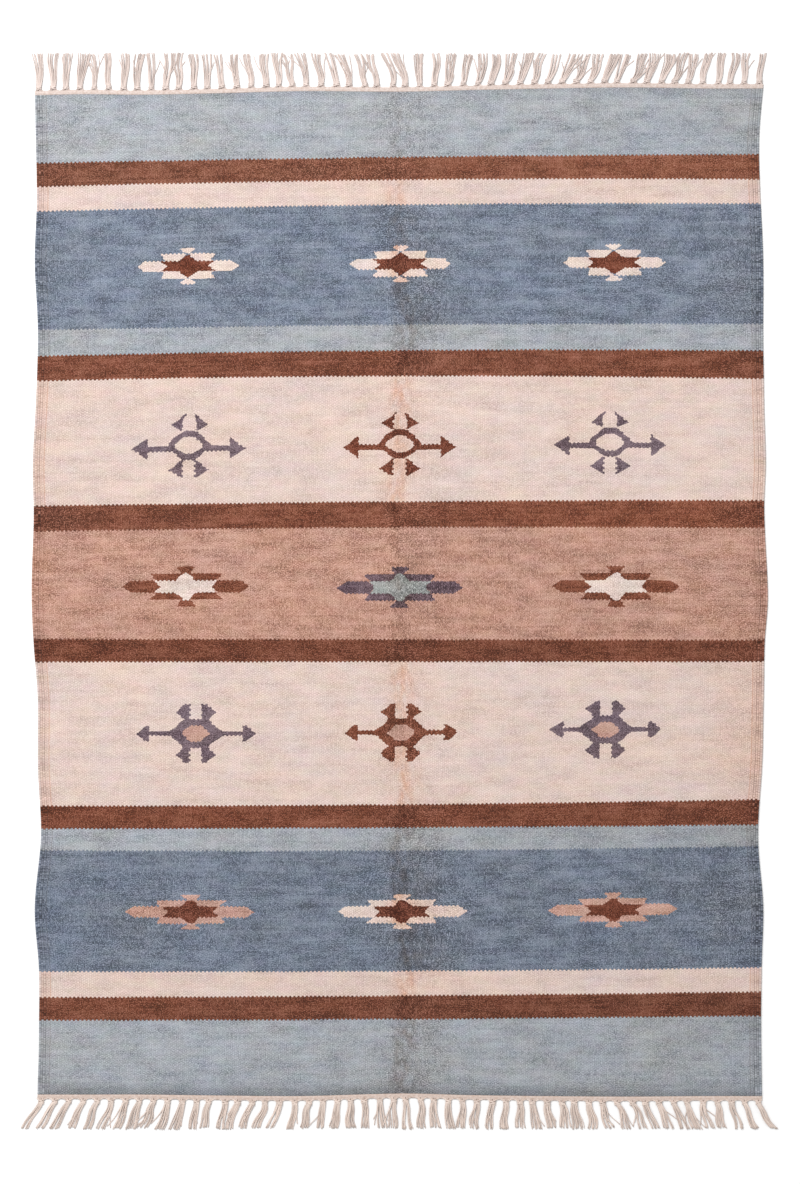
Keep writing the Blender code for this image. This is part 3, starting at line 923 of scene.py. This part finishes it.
print(len(STAINS), "stains, and a fold whose dust is about", 2.0 * FOLD_WIDTH, "mm wide")

# %% Dust and painted shade in the shader


def with_dust_and_shade(tree, colour, amount, pale):
    """A colour with some dust, or with painted shade in the colour of dust, on it."""
    lost = node(tree, "Mix", pale, DUST_AND_SHADE, PALE_DUST_AND_SHADE, data_type="VECTOR")
    return changed(tree, colour, node(tree, "VectorMath", lost, Scale=amount, operation="SCALE"))


def fold_dust_and_shade(tree, cloth, colour):
    """How much dust lies along the old fold, with the painted shade of its crease."""
    place = node(tree, "SeparateXYZ", cloth)
    fold = node(tree, "Math", place.outputs["X"], drift(tree, cloth, *FOLD_LINE), operation="ADD")
    patch = drift(tree, cloth, PATCH_GRAIN, 1.0, PATCH_DETAIL)
    narrow = node(tree, "MapRange", patch, *PATCHES, *FOLD_DUST_AND_SHADE)
    narrow = node(tree, "Math", bell(tree, fold, FOLD_WIDTH), narrow, operation="MULTIPLY")
    cool = node(tree, "VectorMath", colour, (-1.0, 0.0, 1.0), operation="DOT_PRODUCT")
    cool = node(tree, "MapRange", cool.outputs["Value"], *COOL, *COOL_DUST)
    beside = node(tree, "Math", fold, COOL_SHIFT, operation="SUBTRACT")
    beside = node(tree, "Math", bell(tree, beside, COOL_WIDTH), cool, operation="MULTIPLY")
    spotty = node(tree, "MapRange", patch, *PATCHES, *COOL_PATCHES)
    dust_and_shade = node(tree, "Math", beside, spotty, narrow, operation="MULTIPLY_ADD")
    fading = node(tree, "MapRange", place.outputs["Y"], *FADING)
    return node(tree, "Math", dust_and_shade, fading, operation="MULTIPLY")


def dust_and_shade_amount(tree, cloth, colour, bright):
    """How much the stains, and the old fold's dust and painted shade, show at a place of the cloth."""
    dust_and_shade = fold_dust_and_shade(tree, cloth, colour)
    for middle, size, amount in STAINS:
        away = node(tree, "VectorMath", cloth, (*middle, 0.0), operation="SUBTRACT")
        away = node(tree, "VectorMath", away, (*size, 1.0), operation="DIVIDE")
        away = node(tree, "VectorMath", away, operation="LENGTH").outputs["Value"]
        dust_and_shade = node(tree, "Math", bell(tree, away, 1.0), amount, dust_and_shade, operation="MULTIPLY_ADD")
    worn = node(tree, "MapRange", bright, *WORN)
    worn = node(tree, "Math", worn, node(tree, "MapRange", bright, *DARK_WORN), operation="MAXIMUM")
    return node(tree, "Math", dust_and_shade, worn, operation="MULTIPLY")


def edge_shaded_and_toned(tree, across, colour, pale):
    """A colour with painted shade in the furrow beside the side cords, a darker band over the inner
    cords and a paler outermost cord.
    """
    inset = node(tree, "Math", across, operation="ABSOLUTE")
    inset = node(tree, "Math", HALF_WIDTH, inset, operation="SUBTRACT")
    for depth, width, amount in EDGE_SHADE_AND_TONE:
        there = node(tree, "Math", inset, depth, operation="SUBTRACT")
        there = node(tree, "Math", bell(tree, there, width), amount, operation="MULTIPLY")
        colour = with_dust_and_shade(tree, colour, there, pale)
    return colour


print("the side cords' dust and wear reach", EDGE_SHADE_AND_TONE[0][0] + EDGE_SHADE_AND_TONE[0][1], "mm in")

# %% [markdown]
# ## The weft material
# All the steps come together here, in the order in which they happened to the real cloth: it is woven of
# dyed wool, the dye drifts, the yarn's tone varies, and dust settles last. Painted shade goes in among
# them: into the hollows between the beads after the tone, and along the old fold's crease and the furrow
# by the side cords with the dust. Wool scatters nearly all light, so the finish is very rough with a
# faint sheen for its fuzz. The bump raises each bead, and roughens it with fibres 0.9 mm apart.

# %% The weft material
LUMINANCE = (0.3, 0.5, 0.2)
# Painted shade in the hollows between the beads: mm from a bead's middle, and how light the colour is
# painted there.
PAINTED_HOLLOW_SHADE = (1.0, 2.6, 1.07, 0.84)    # mm from a bead's middle, and how light it is there
BEAD_EDGE = 6.5             # a bead's height falls with the square of the distance, to nothing here
FIBRE = 0.9
FIBRE_SHARE = 0.45
BEAD_RELIEF = 0.5


def dyed_wool_weft():
    """The wool of the field and of its side cords."""
    material, shader = start_material("dyed_wool_weft_faced_weave", 0.92, 0.12)
    tree = material.node_tree
    cloth = node(tree, "UVMap", uv_map="Weave")
    across = node(tree, "SeparateXYZ", cloth).outputs["X"]
    place = node(tree, "VectorMath", cloth, drifting(tree, cloth, *HAND), operation="ADD")
    bead, middle, away = find_bead(tree, place)

    colour, lots = band_wool(tree, node(tree, "SeparateXYZ", middle).outputs["Y"])
    strength = node(tree, "MapRange", across, -HALF_WIDTH, HALF_WIDTH,
                    lots.outputs["Red"], lots.outputs["Green"])
    colour = node(tree, "VectorMath", colour, Scale=strength, operation="SCALE")
    looked = figure_place(tree, place, bead, middle)
    colour = add_figures(tree, looked.outputs["X"], looked.outputs["Y"], colour)
    colour = dye_drift(tree, cloth, colour)

    bright = node(tree, "VectorMath", colour, LUMINANCE, operation="DOT_PRODUCT").outputs["Value"]
    pale = node(tree, "MapRange", bright, *PALE, 0.0, 1.0)
    dust_and_shade = dust_and_shade_amount(tree, cloth, colour, bright)
    colour = toned(tree, cloth, bead, colour, bright, dust_and_shade, lots.outputs["Blue"])
    # Painted shade: the colour darkens away from a bead's middle, into the hollows between the beads.
    shade = node(tree, "MapRange", away, *PAINTED_HOLLOW_SHADE)
    colour = node(tree, "VectorMath", colour, Scale=shade, operation="SCALE")
    # Painted shade in the furrow beside the side cords, with the cords' darker and paler bands.
    colour = edge_shaded_and_toned(tree, across, colour, pale)
    # Last come the stains' dust, and the old fold's dust and painted crease shade.
    colour = with_dust_and_shade(tree, colour, dust_and_shade, pale)
    tree.links.new(colour.outputs["Vector"], shader.inputs["Base Color"])

    rise = node(tree, "Math", away, away, operation="MULTIPLY")
    rise = node(tree, "MapRange", rise, 0.0, BEAD_EDGE, 1.0, 0.0)
    fuzz = node(tree, "TexNoise", Vector=cloth, Scale=1.0 / FIBRE, Detail=2.0, noise_dimensions="2D")
    rise = node(tree, "Math", fuzz, FIBRE_SHARE, rise, operation="MULTIPLY_ADD")
    bump = node(tree, "Bump", Strength=0.9, Distance=BEAD_RELIEF * MM, Height=rise)
    tree.links.new(bump.outputs["Normal"], shader.inputs["Normal"])
    print(material.name, "has", len(tree.nodes), "nodes")
    return material


wool = dyed_wool_weft()
field = make_piece("rug_woven_field", field_parts, wool)
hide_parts("woven_field")

# %% [markdown]
# ## Side cords
# At each side the last warps are thick, and the weft turns round them, which makes a firm corded
# edge. Each side has three such cords. The wool wraps them in rings one bead long, so a cord is a
# tube whose radius rises and falls once for each ring.

# %% Corded selvedges
CORD_RADIUS = 2.5
CORD_INSETS = (2.5, 6.8, 11.15)     # from the rug's edge to the middle of each cord
CORD_FLATNESS = 0.88        # its height for its width
CORD_LIFT = 0.15            # it lies a little off the floor,
CORD_SWELL = 0.6            # is stiffer than the cloth, so it follows less of its waves,
CORD_WOBBLE = (0.12, 23.0)  # and wavers to the side: by how much, and how fast
CORD_SIDES = 8
RING_RELIEF = 0.13          # half of what a ring of wool rises over the furrow beside it


def side_cords(side):
    """The three cords of one side: -1 is the left, +1 the right."""
    rings = round((BANDS[-1].upper - FIELD_BOTTOM) / BEAD_ALONG)
    v = np.linspace(FIELD_BOTTOM, BANDS[-1].upper, 2 * rings + 1)
    rims = RIM_LEFT if side < 0 else RIM_RIGHT
    parts = []
    for inset in CORD_INSETS:
        u = np.full_like(v, side * (HALF_WIDTH - inset))
        y = along_at(u, v)
        x = side * (curve(RIM_PLACES, rims, y) - inset)
        z = CORD_RADIUS + CORD_LIFT + swell(u, v) * CORD_SWELL
        wobble = CORD_WOBBLE[0] * np.sin(v / CORD_WOBBLE[1] + inset)
        path = (np.stack([x + wobble, y, z], axis=-1) + field_shift)[None]
        crest = np.where(np.arange(len(v)) % 2 == 1, RING_RELIEF, -RING_RELIEF)
        points, faces, layers = tubes(path, (CORD_RADIUS + crest)[None], CORD_SIDES, (0, 0, 1))
        share = layers["Weave"][..., 0] / layers["Weave"][..., 0].max()
        layers["Weave"] = np.stack([np.full_like(share, u[0]), blend(v[0], v[-1], share)], axis=-1)
        points[:, 2] *= CORD_FLATNESS
        parts.append((points, faces, layers))
    return join(parts)


for side, name in ((-1, "rug_selvedge_left"), (1, "rug_selvedge_right")):
    cords = make_piece(name, side_cords(side), wool)
    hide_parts("woven_field")

# %% [markdown]
# ## Undyed cotton warp
# The warps are undyed spun cotton, a warm off-white that the daylight turns slightly pink. The bottom
# end's copies of it are painted a little paler, to make up for the lamp's light, which is weaker there,
# and are a little warmer. They show only past the field: woven plain in the headings, and loose in the
# fringe. To the eye cotton is smoother and whiter than the wool, and as dull. Each yarn is two plies
# twisted together, which shows as slanting grooves 2.4 mm apart, drawn by the shader's bump and a little
# painted shade. The flat coordinates of a yarn run along it in millimetres and count one for each yarn,
# so a random tone can be picked for each one.

# %% The warp material
PLY_TURN = 4.8              # one turn of the two plies, which is two grooves
PLY_GROOVE = (0.6, 0.25)    # how much of the sine a groove takes, and how much shade it holds
PLY_RELIEF = 0.3
YARN_TONES = (0.84, 1.14)   # the darkest yarn and the palest
SOILING = (0.9, 1.0, 1.1)   # soil takes a little more of blue than of red
FLANK_CODE = "#b58a78"      # the warm shade where a yarn lies against the next one
FLANK_SPAN = (0.1, 0.75)    # it is full below the first height on the yarn, and gone above the second
COTTON_FIBRES = 1.4         # to a millimetre


def cotton_warp(name, code, ply_depth, flanks, grain, uneven):
    """Cotton yarn: its colour, how deep its plies are, how shaded its flanks, and how soiled it is."""
    material, shader = start_material(name, 0.88, 0.08)
    tree = material.node_tree
    yarn = node(tree, "UVMap", uv_map="Weave")
    parts = node(tree, "SeparateXYZ", yarn)
    index = node(tree, "Math", parts.outputs["Y"], operation="FLOOR")
    around = node(tree, "Math", parts.outputs["Y"], operation="FRACT")
    pick = node(tree, "TexWhiteNoise", W=index, noise_dimensions="1D")
    tone = node(tree, "MapRange", pick, 0.0, 1.0, *YARN_TONES)
    colour = node(tree, "VectorMath", linear(code)[:3], Scale=tone, operation="SCALE")
    soil = tuple(share * uneven for share in SOILING)
    soil = node(tree, "VectorMath", soil, Scale=drift(tree, yarn, grain, 1.0), operation="SCALE")
    colour = node(tree, "VectorMath", colour, soil, operation="ADD")

    turns = node(tree, "Math", parts.outputs["X"], 1.0 / PLY_TURN, operation="MULTIPLY")
    turns = node(tree, "Math", turns, around, operation="ADD")
    turns = node(tree, "Math", turns, 2.0 * math.pi, operation="MULTIPLY")
    ply = node(tree, "Math", turns, operation="SINE")
    ply = node(tree, "Math", ply, operation="ABSOLUTE")
    width, depth = PLY_GROOVE
    shade = node(tree, "MapRange", ply, 0.0, width, 1.0 - depth * ply_depth, 1.0)
    colour = node(tree, "VectorMath", colour, Scale=shade, operation="SCALE")
    facing = node(tree, "Math", around, 2.0 * math.pi, operation="MULTIPLY")
    facing = node(tree, "Math", facing, operation="SINE")
    flank = node(tree, "MapRange", facing, *FLANK_SPAN, flanks, 0.0)
    colour = node(tree, "Mix", flank, colour, linear(FLANK_CODE), data_type="RGBA")
    tree.links.new(colour.outputs[2], shader.inputs["Base Color"])

    fuzz = node(tree, "TexNoise", Vector=yarn, Scale=COTTON_FIBRES, Detail=2.0, noise_dimensions="2D")
    rise = node(tree, "Math", ply, ply_depth, fuzz, operation="MULTIPLY_ADD")
    bump = node(tree, "Bump", Strength=0.8, Distance=PLY_RELIEF * MM, Height=rise)
    tree.links.new(bump.outputs["Normal"], shader.inputs["Normal"])
    print(material.name, "has", len(tree.nodes), "nodes")
    return material


COTTONS = {}
# The bottom end's colours are painted a little paler than the top's, to make up for the lamp's light,
# which is weaker at that end, and are a little warmer.
for end, loose, woven in (("top", "#f4e3db", "#e1cfc6"), ("bottom", "#ffece0", "#e8d2c6")):
    COTTONS[end] = (
        cotton_warp("undyed_cotton_warp_" + end, loose,
                    ply_depth=1.0, flanks=0.65, grain=(9.0, 0.6), uneven=0.11),
        cotton_warp("undyed_cotton_plain_weave_" + end, woven,
                    ply_depth=0.0, flanks=0.0, grain=(5.0, 4.0), uneven=0.30),
    )

# %% [markdown]
# ## Headings
# After the last coloured pick, each end has a heading: 9 mm of plain weave in the warp's own cotton,
# which locks the wool in place. Over and under shows here as a small chequer of raised crossings, so
# the points of a fine grid are lifted in turn.

# %% The two headings
HEADING_WIDTH = 9.0
HEADING_TOP = 2.9           # its thickness
HEADING_THINNING = 0.7      # it is this much thinner at its outer edge
HEADING_OVERHANG = 1.0      # it reaches past the side cords
HEADING_ROWS = 5
HEADING_UNDER = 0.25        # its underside is this far off the floor between its crossings
CROSSING_RELIEF = 0.3
HEADING_SHIFT = 100.0       # the two headings' mottling is read this far from the field's, each way


def end_y(u, outward):
    """The y of the coloured field's end, at the top (1) or the bottom (-1)."""
    return curve(END_PLACES, END_TOP if outward > 0 else END_BOTTOM, u)


def heading(outward):
    """The heading of the top end (1) or the bottom end (-1) as a slab."""
    half = HALF_WIDTH + HEADING_OVERHANG
    columns = np.linspace(-half, half, 4 * round(half / RIB) + 1)
    steps = np.linspace(0.0, HEADING_WIDTH, HEADING_ROWS)
    if outward < 0:
        steps = steps[::-1]
    u, out = np.meshgrid(columns, steps)
    y = end_y(u, outward) + outward * out
    rim_y = np.clip(y, min(RIM_PLACES), max(RIM_PLACES))
    left, right = curve(RIM_PLACES, RIM_LEFT, rim_y), curve(RIM_PLACES, RIM_RIGHT, rim_y)
    x = blend(-left, right, (u + half) / (2.0 * half))
    row, column = np.indices(u.shape)
    lifted = np.where((row + column // 2) % 2 == 0, 1.0, -1.0) * (column % 2) * CROSSING_RELIEF
    thin = HEADING_THINNING * (out / HEADING_WIDTH) ** 3
    top = np.stack([x, y, HEADING_TOP + lifted - thin], axis=-1) + field_shift
    under = np.stack([x, y, HEADING_UNDER - 0.5 * np.maximum(lifted, 0.0)], axis=-1) + field_shift
    return slab(top, under, np.stack([u, out + HEADING_SHIFT * outward], axis=-1))


print("a heading has", 2 * round(HALF_WIDTH / RIB), "crossings to a row")

# %% [markdown]
# ## Tassels
# Past the heading, the warps are bunched and knotted, 52 bunches to an end, and trimmed level. The
# solids' own plan is repeated here, draw for draw: where each bunch stands, how its two or three
# locks lean and spread, and where they are cut. Each lock is then made of separate yarns that twist
# loosely round one another and rest on the floor. Each knot is the bunch's own yarns taken once
# round itself, so it is slanted loops over an oval core.

# %% How each end's tassels lie
TASSELS = 52
TASSEL_MARGIN = 7.0         # from the rug's corner to the first tassel's middle
ROOT_DRIFT = 2.6            # how far a root, a lean and a trim stray, in mm
LEAN_DRIFT = 5.0
LENGTH_DRIFT = 1.6
SPLAY_DRIFT = 0.18          # how far a splay and a knot's size stray, as shares
KNOT_DRIFT = 0.10
TIP_WIDTH = 4.2             # a lock's width at its tip, and the least gap to the next one
TIP_GAP = 1.0
THREE_LOCK_SPLAY = 16.0     # a bunch that spreads wider than this has three locks


class Fringe(NamedTuple):
    """One end: its node, which way is out, where it is trimmed, its seed, and how its bunches lie."""

    node: str
    outward: int
    trim: float
    seed: int
    across: tuple
    lean: tuple
    splay: tuple
    bend: tuple             # under 1 leans at the root and then straightens, over 1 the other way


FRINGES = (
    Fringe("heading_fringe_top", 1, 1038.0, 11,
           (-702, -655, -570, -400, -330, -200, -60, 20, 70, 180, 300, 480, 560, 640, 702),
           (-5, 6, 1, 2, -4, -8, -16, -14, 8, 8, 19, 18, 13, 8, 12),
           (15, 20, 15, 17, 18, 18, 15, 15, 16, 16, 18, 19, 16, 13, 18),
           (1.4, 1.3, 1.2, 1.2, 1.3, 1.5, 1.6, 1.2, 0.7, 0.7, 0.9, 1.0, 0.8, 1.0, 1.5)),
    Fringe("heading_fringe_bottom", -1, 1034.0, 29,
           (-702, -600, -480, -350, -200, -110, -40, 60, 180, 260, 380, 480, 560, 640, 702),
           (-31, -24, -17, -13, -14, -4, 2, 2, -2, 6, 10, 20, 18, 13, 32),
           (12, 14, 18, 13, 13, 13, 17, 19, 14, 17, 19, 16, 19, 14, 12),
           (1.0, 1.0, 1.1, 1.1, 1.2, 1.2, 1.0, 1.0, 1.0, 1.0, 1.0, 1.1, 1.2, 1.2, 1.2)),
)
print("tassels:", TASSELS * len(FRINGES), "on", len(FRINGES), "ends")

# %% The tassels' plan


def plan_tassels(fringe):
    """Each tassel as (root, knot size, lock tips, reach), in mm, in order along the heading."""
    draw = random.Random(fringe.seed)
    end = end_y(np.array([-HALF_WIDTH, HALF_WIDTH]), fringe.outward)
    left = -float(curve(RIM_PLACES, RIM_LEFT, end[0]))
    right = float(curve(RIM_PLACES, RIM_RIGHT, end[1]))
    pitch = (right - left - 2.0 * TASSEL_MARGIN) / (TASSELS - 1)
    reached = 2.0 * left
    plan = []
    for index in range(TASSELS):
        off = draw.uniform(-ROOT_DRIFT, ROOT_DRIFT)
        inner = 0 < index < TASSELS - 1
        root = left + TASSEL_MARGIN + index * pitch + (off if inner else 0.0)
        lean = float(curve(fringe.across, fringe.lean, root)) + draw.uniform(-LEAN_DRIFT, LEAN_DRIFT)
        splay = float(curve(fringe.across, fringe.splay, root))
        splay *= draw.uniform(1.0 - SPLAY_DRIFT, 1.0 + SPLAY_DRIFT)
        size = draw.uniform(1.0 - KNOT_DRIFT, 1.0 + KNOT_DRIFT)
        reach = fringe.trim + draw.uniform(-LENGTH_DRIFT, LENGTH_DRIFT)
        locks = 3 if splay > THREE_LOCK_SPLAY else 2
        tips = []
        for lock in range(locks):
            offset = (lock / (locks - 1) - 0.5) * (splay - TIP_WIDTH)
            reached = max(root + lean + offset, reached + TIP_WIDTH + TIP_GAP)
            tips.append(reached)
        plan.append((root, size, tips, reach))
    return plan


plans = {fringe.node: plan_tassels(fringe) for fringe in FRINGES}
print({name: sum(len(tips) for _, _, tips, _ in plan) for name, plan in plans.items()}, "locks")

# %% The yarns of a tassel
FLOOR_GAP = 0.05            # between the floor and what rests on it
YARN_RADIUS = 0.95
YARN_SIDES = 6
YARN_STEPS = 15
YARNS = 14                  # loose yarns in a tassel
YARN_START = 5.2            # they start inside the knot, this far out from the heading
NECK = 4.3                  # half a tassel's width where it leaves its knot
FRAY = 4.1                  # how far past its locks' middles a tassel's yarns reach
BELLY = 0.8                 # how far a tassel's outer yarns bulge half way
BEND_DRIFT = 0.15           # how much a tassel's bend strays
SWAY, CURL = 3.0, 1.8       # how far a tassel swings to one side, and in an S
LANE_DRIFT = 0.16           # how far a yarn's end strays from its place among the others
WAVES, WAVE_TURNS = (0.2, 0.9), (4.0, 9.0)      # a yarn's own small waves
TRIM_DRIFT = (-2.4, 1.2)    # where a yarn is cut, past its tassel's trim
STRAYS = 0.11               # the share of yarns that lie across the next tassel:
STRAY_START = (0.15, 0.6)   # where they leave their own,
STRAY_REACH = (6.0, 17.0)   # how far they go,
STRAY_SHORT = 16.0          # and how much shorter they end, at most
RADIUS_DRIFT = (0.86, 1.1)
UPPER_LAYER = (1.7, 0.9)    # every second yarn lies on the others: how high, at the knot and the tip
LAYER_DRIFT = 0.7
KNOT_RISE = 1.6             # a tassel comes down to the floor from the middle of its knot
TIP_THINNING = 0.15


def heading_edge(fringe, u):
    """The y of a heading's outer edge at a place across."""
    return float(end_y(np.array(u), fringe.outward)) + fringe.outward * HEADING_WIDTH


def yarn_paths(fringe, plan):
    """The paths of all the loose yarns of one end, and their radii."""
    draw = random.Random(fringe.seed + 100)
    share = np.linspace(0.0, 1.0, YARN_STEPS)
    paths, radii = [], []
    for index, (root, size, tips, reach) in enumerate(plan):
        start_y = heading_edge(fringe, root) + fringe.outward * YARN_START
        bend = float(curve(fringe.across, fringe.bend, root))
        bend *= draw.uniform(1.0 - BEND_DRIFT, 1.0 + BEND_DRIFT)
        parting = draw.uniform(0.0, 1.0)
        sway, curl = draw.uniform(-SWAY, SWAY), draw.uniform(-CURL, CURL)
        inner = 0 < index < len(plan) - 1
        for yarn in range(YARNS):
            # Where it starts and ends: between an even spread and a place in one of the locks.
            lane = 2.0 * (yarn + 0.5) / YARNS - 1.0
            end_lane = min(max(lane + draw.gauss(0.0, LANE_DRIFT), -1.0), 1.0)
            even = blend(tips[0] - FRAY, tips[-1] + FRAY, (end_lane + 1.0) / 2.0)
            lock = min(int((end_lane + 1.0) / 2.0 * len(tips)), len(tips) - 1)
            tip = blend(even, tips[lock] + draw.uniform(-FRAY, FRAY), parting)
            # Its way there.
            middle = blend(root + lane * NECK * size, tip, share ** bend)
            belly = lane * BELLY * np.sin(math.pi * share ** 0.8)
            height, turns = draw.uniform(*WAVES), draw.uniform(*WAVE_TURNS)
            wave = height * np.sin(turns * share + draw.uniform(0.0, 6.28))
            x = middle + belly + wave * share + sway * np.sin(math.pi * share)
            x = x + curl * np.sin(2.0 * math.pi * share)
            out = draw.uniform(*TRIM_DRIFT)
            leaving, far = draw.uniform(*STRAY_START), draw.uniform(*STRAY_REACH) * draw.choice((-1, 1))
            if draw.random() < STRAYS and inner:
                x = x + far * np.maximum(share - leaving, 0.0) / (1.0 - leaving)
                out -= draw.uniform(0.0, STRAY_SHORT)
            y = blend(start_y, fringe.outward * (reach + out), share)
            radius = YARN_RADIUS * draw.uniform(*RADIUS_DRIFT)
            layer = blend(*UPPER_LAYER, share) * (yarn % 2) + draw.uniform(0.0, LAYER_DRIFT)
            z = radius + FLOOR_GAP + layer + KNOT_RISE * (1.0 - share) ** 5
            paths.append(np.stack([x, y, z], axis=-1))
            radii.append(np.full(YARN_STEPS, radius) * (1.0 - TIP_THINNING * share))
    return np.array(paths) + field_shift, np.array(radii)


print("loose yarns:", sum(len(plan) for plan in plans.values()) * YARNS)

# %% The warps that run into a knot, and its loops
GATHERED_LANES = (-1.0, -0.6, -0.25, 0.25, 0.6, 1.0)
GATHERED_SPREAD = (10.0, 12.5)      # half the width of warps that a knot draws in
GATHERED_NECK = 3.8                 # and half their width in the knot
GATHERED_OUT = (-1.5, 4.6)          # they run from inside the heading to inside the knot,
GATHERED_RISE = (1.5, 3.1)          # and rise to its middle
GATHERED_RADIUS = 1.0
KNOT_WIDTH = 12.4
KNOT_HEIGHT = 6.2
LOOPS = (                   # how far out, how much slant, and width and height as shares of the knot's
    (2.6, 0.30, 1.0, 1.0),
    (4.1, -0.24, 1.0, 1.0),
    (5.6, 0.26, 1.0, 1.0),
    (7.1, -0.20, 0.92, 0.85),
)
LOOP_DRIFT = (0.1, 0.3)     # how far its slant and its place stray
LOOP_STEPS = 12
LOOP_RADIUS = 1.15


def gathered_paths(fringe, plan):
    """The warps between the heading's edge and the knots, drawn in from each side."""
    draw = random.Random(fringe.seed + 200)
    share = np.linspace(0.0, 1.0, 5)
    paths = []
    for root, size, _, _ in plan:
        for lane in GATHERED_LANES:
            start = root + lane * draw.uniform(*GATHERED_SPREAD)
            start = np.clip(start, GATHERED_RADIUS - HALF_WIDTH, HALF_WIDTH - GATHERED_RADIUS)
            x = blend(start, root + lane * GATHERED_NECK * size, np.sin(share * math.pi / 2.0))
            y = heading_edge(fringe, start) + fringe.outward * blend(*GATHERED_OUT, share ** 1.3)
            paths.append(np.stack([x, y, blend(*GATHERED_RISE, share)], axis=-1))
    paths = np.array(paths)
    return paths + field_shift, np.full(paths.shape[:2], GATHERED_RADIUS)


def loop_paths(fringe, plan):
    """The closed loops of all the knots."""
    draw = random.Random(fringe.seed + 300)
    angle = np.arange(LOOP_STEPS) * 2.0 * math.pi / LOOP_STEPS
    paths = []
    for root, size, _, _ in plan:
        for out, slant, width, height in LOOPS:
            half = (KNOT_WIDTH / 2.0 * size - LOOP_RADIUS) * width
            tall = (KNOT_HEIGHT / 2.0 * size - LOOP_RADIUS) * height
            tilt = (slant + draw.uniform(-LOOP_DRIFT[0], LOOP_DRIFT[0])) * half
            place = out + draw.uniform(-LOOP_DRIFT[1], LOOP_DRIFT[1])
            x = root + half * np.cos(angle)
            y = heading_edge(fringe, root) + fringe.outward * place + tilt * np.cos(angle)
            z = tall * np.sin(angle) + KNOT_HEIGHT / 2.0 * size + FLOOR_GAP
            paths.append(np.stack([x, y, z], axis=-1))
    paths = np.array(paths)
    return paths + field_shift, np.full(paths.shape[:2], LOOP_RADIUS)


print("loops:", sum(len(plan) for plan in plans.values()) * len(LOOPS))

# %% Make both ends
for fringe in FRINGES:
    end = "top" if fringe.outward > 0 else "bottom"
    plan = plans[fringe.node]
    loose = tubes(*yarn_paths(fringe, plan), YARN_SIDES, (0, 0, 1))
    drawn_in = tubes(*gathered_paths(fringe, plan), YARN_SIDES, (0, 0, 1))
    loops = tubes(*loop_paths(fringe, plan), YARN_SIDES, (0, 1, 0), closed=True, start=-math.pi / 2.0)
    yarn_cotton, woven_cotton = COTTONS[end]
    tassels = make_piece("rug_fringe_" + end, join([loose, drawn_in, loops]), yarn_cotton)
    strip = make_piece("rug_heading_" + end, heading(fringe.outward), woven_cotton)
    for piece in (tassels, strip):
        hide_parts(fringe.node)

# %% [markdown]

# %% [markdown]
# ## Floor and light
# A product picture of a rug is taken on a sweep of matt white paper under big soft lights, so that
# nothing but the rug has any tone. One large lamp stands at the upper left, which makes that corner a
# little brighter and lets the ribs throw faint shadows, and a white sky fills in the rest.

# %% Floor, lamp and sky
FLOOR_SIZE = 9.0            # in metres, as are the lamp's size and place
FLOOR_DROP = 0.2            # mm below the rug's underside, so that the two don't flicker
PAPER_SHARE = 0.89          # how much of the light white paper sends back
LAMP_SIZE = 2.4
LAMP_PLACE = (-1.7, 2.1, 4.2)
LAMP_TILT = (-24.0, -20.0, 0.0)     # degrees, towards the rug's middle
LAMP_POWER = 210.0
SKY_STRENGTH = 0.72

floor_mesh = bpy.data.meshes.new("floor")
half = FLOOR_SIZE / 2.0
floor_mesh.from_pydata([(-half, -half, 0.0), (half, -half, 0.0), (half, half, 0.0), (-half, half, 0.0)],
                       [], [(0, 1, 2, 3)])
floor = bpy.data.objects.new("floor", floor_mesh)
floor.location.z = -FLOOR_DROP * MM
paper, paper_shader = start_material("matt_white_paper", 0.9, 0.0)
paper_shader.inputs["Base Color"].default_value = (PAPER_SHARE, PAPER_SHARE, PAPER_SHARE, 1.0)
floor_mesh.materials.append(paper)
bpy.context.scene.collection.objects.link(floor)

lamp_data = bpy.data.lights.new("softbox", "AREA")
lamp_data.shape = "RECTANGLE"
lamp_data.size = lamp_data.size_y = LAMP_SIZE
lamp_data.energy = LAMP_POWER
lamp = bpy.data.objects.new("softbox", lamp_data)
lamp.location = LAMP_PLACE
lamp.rotation_euler = [math.radians(angle) for angle in LAMP_TILT]
lamp.visible_camera = False
bpy.context.scene.collection.objects.link(lamp)

sky = bpy.data.worlds.new("white_sky")
sky.use_nodes = True
background = sky.node_tree.nodes["Background"]
background.inputs["Color"].default_value = (1.0, 1.0, 1.0, 1.0)
background.inputs["Strength"].default_value = SKY_STRENGTH
bpy.context.scene.world = sky
bpy.context.scene.view_settings.view_transform = "Standard"
print("floor", FLOOR_SIZE, "m wide, one softbox of", lamp_data.energy, "W")
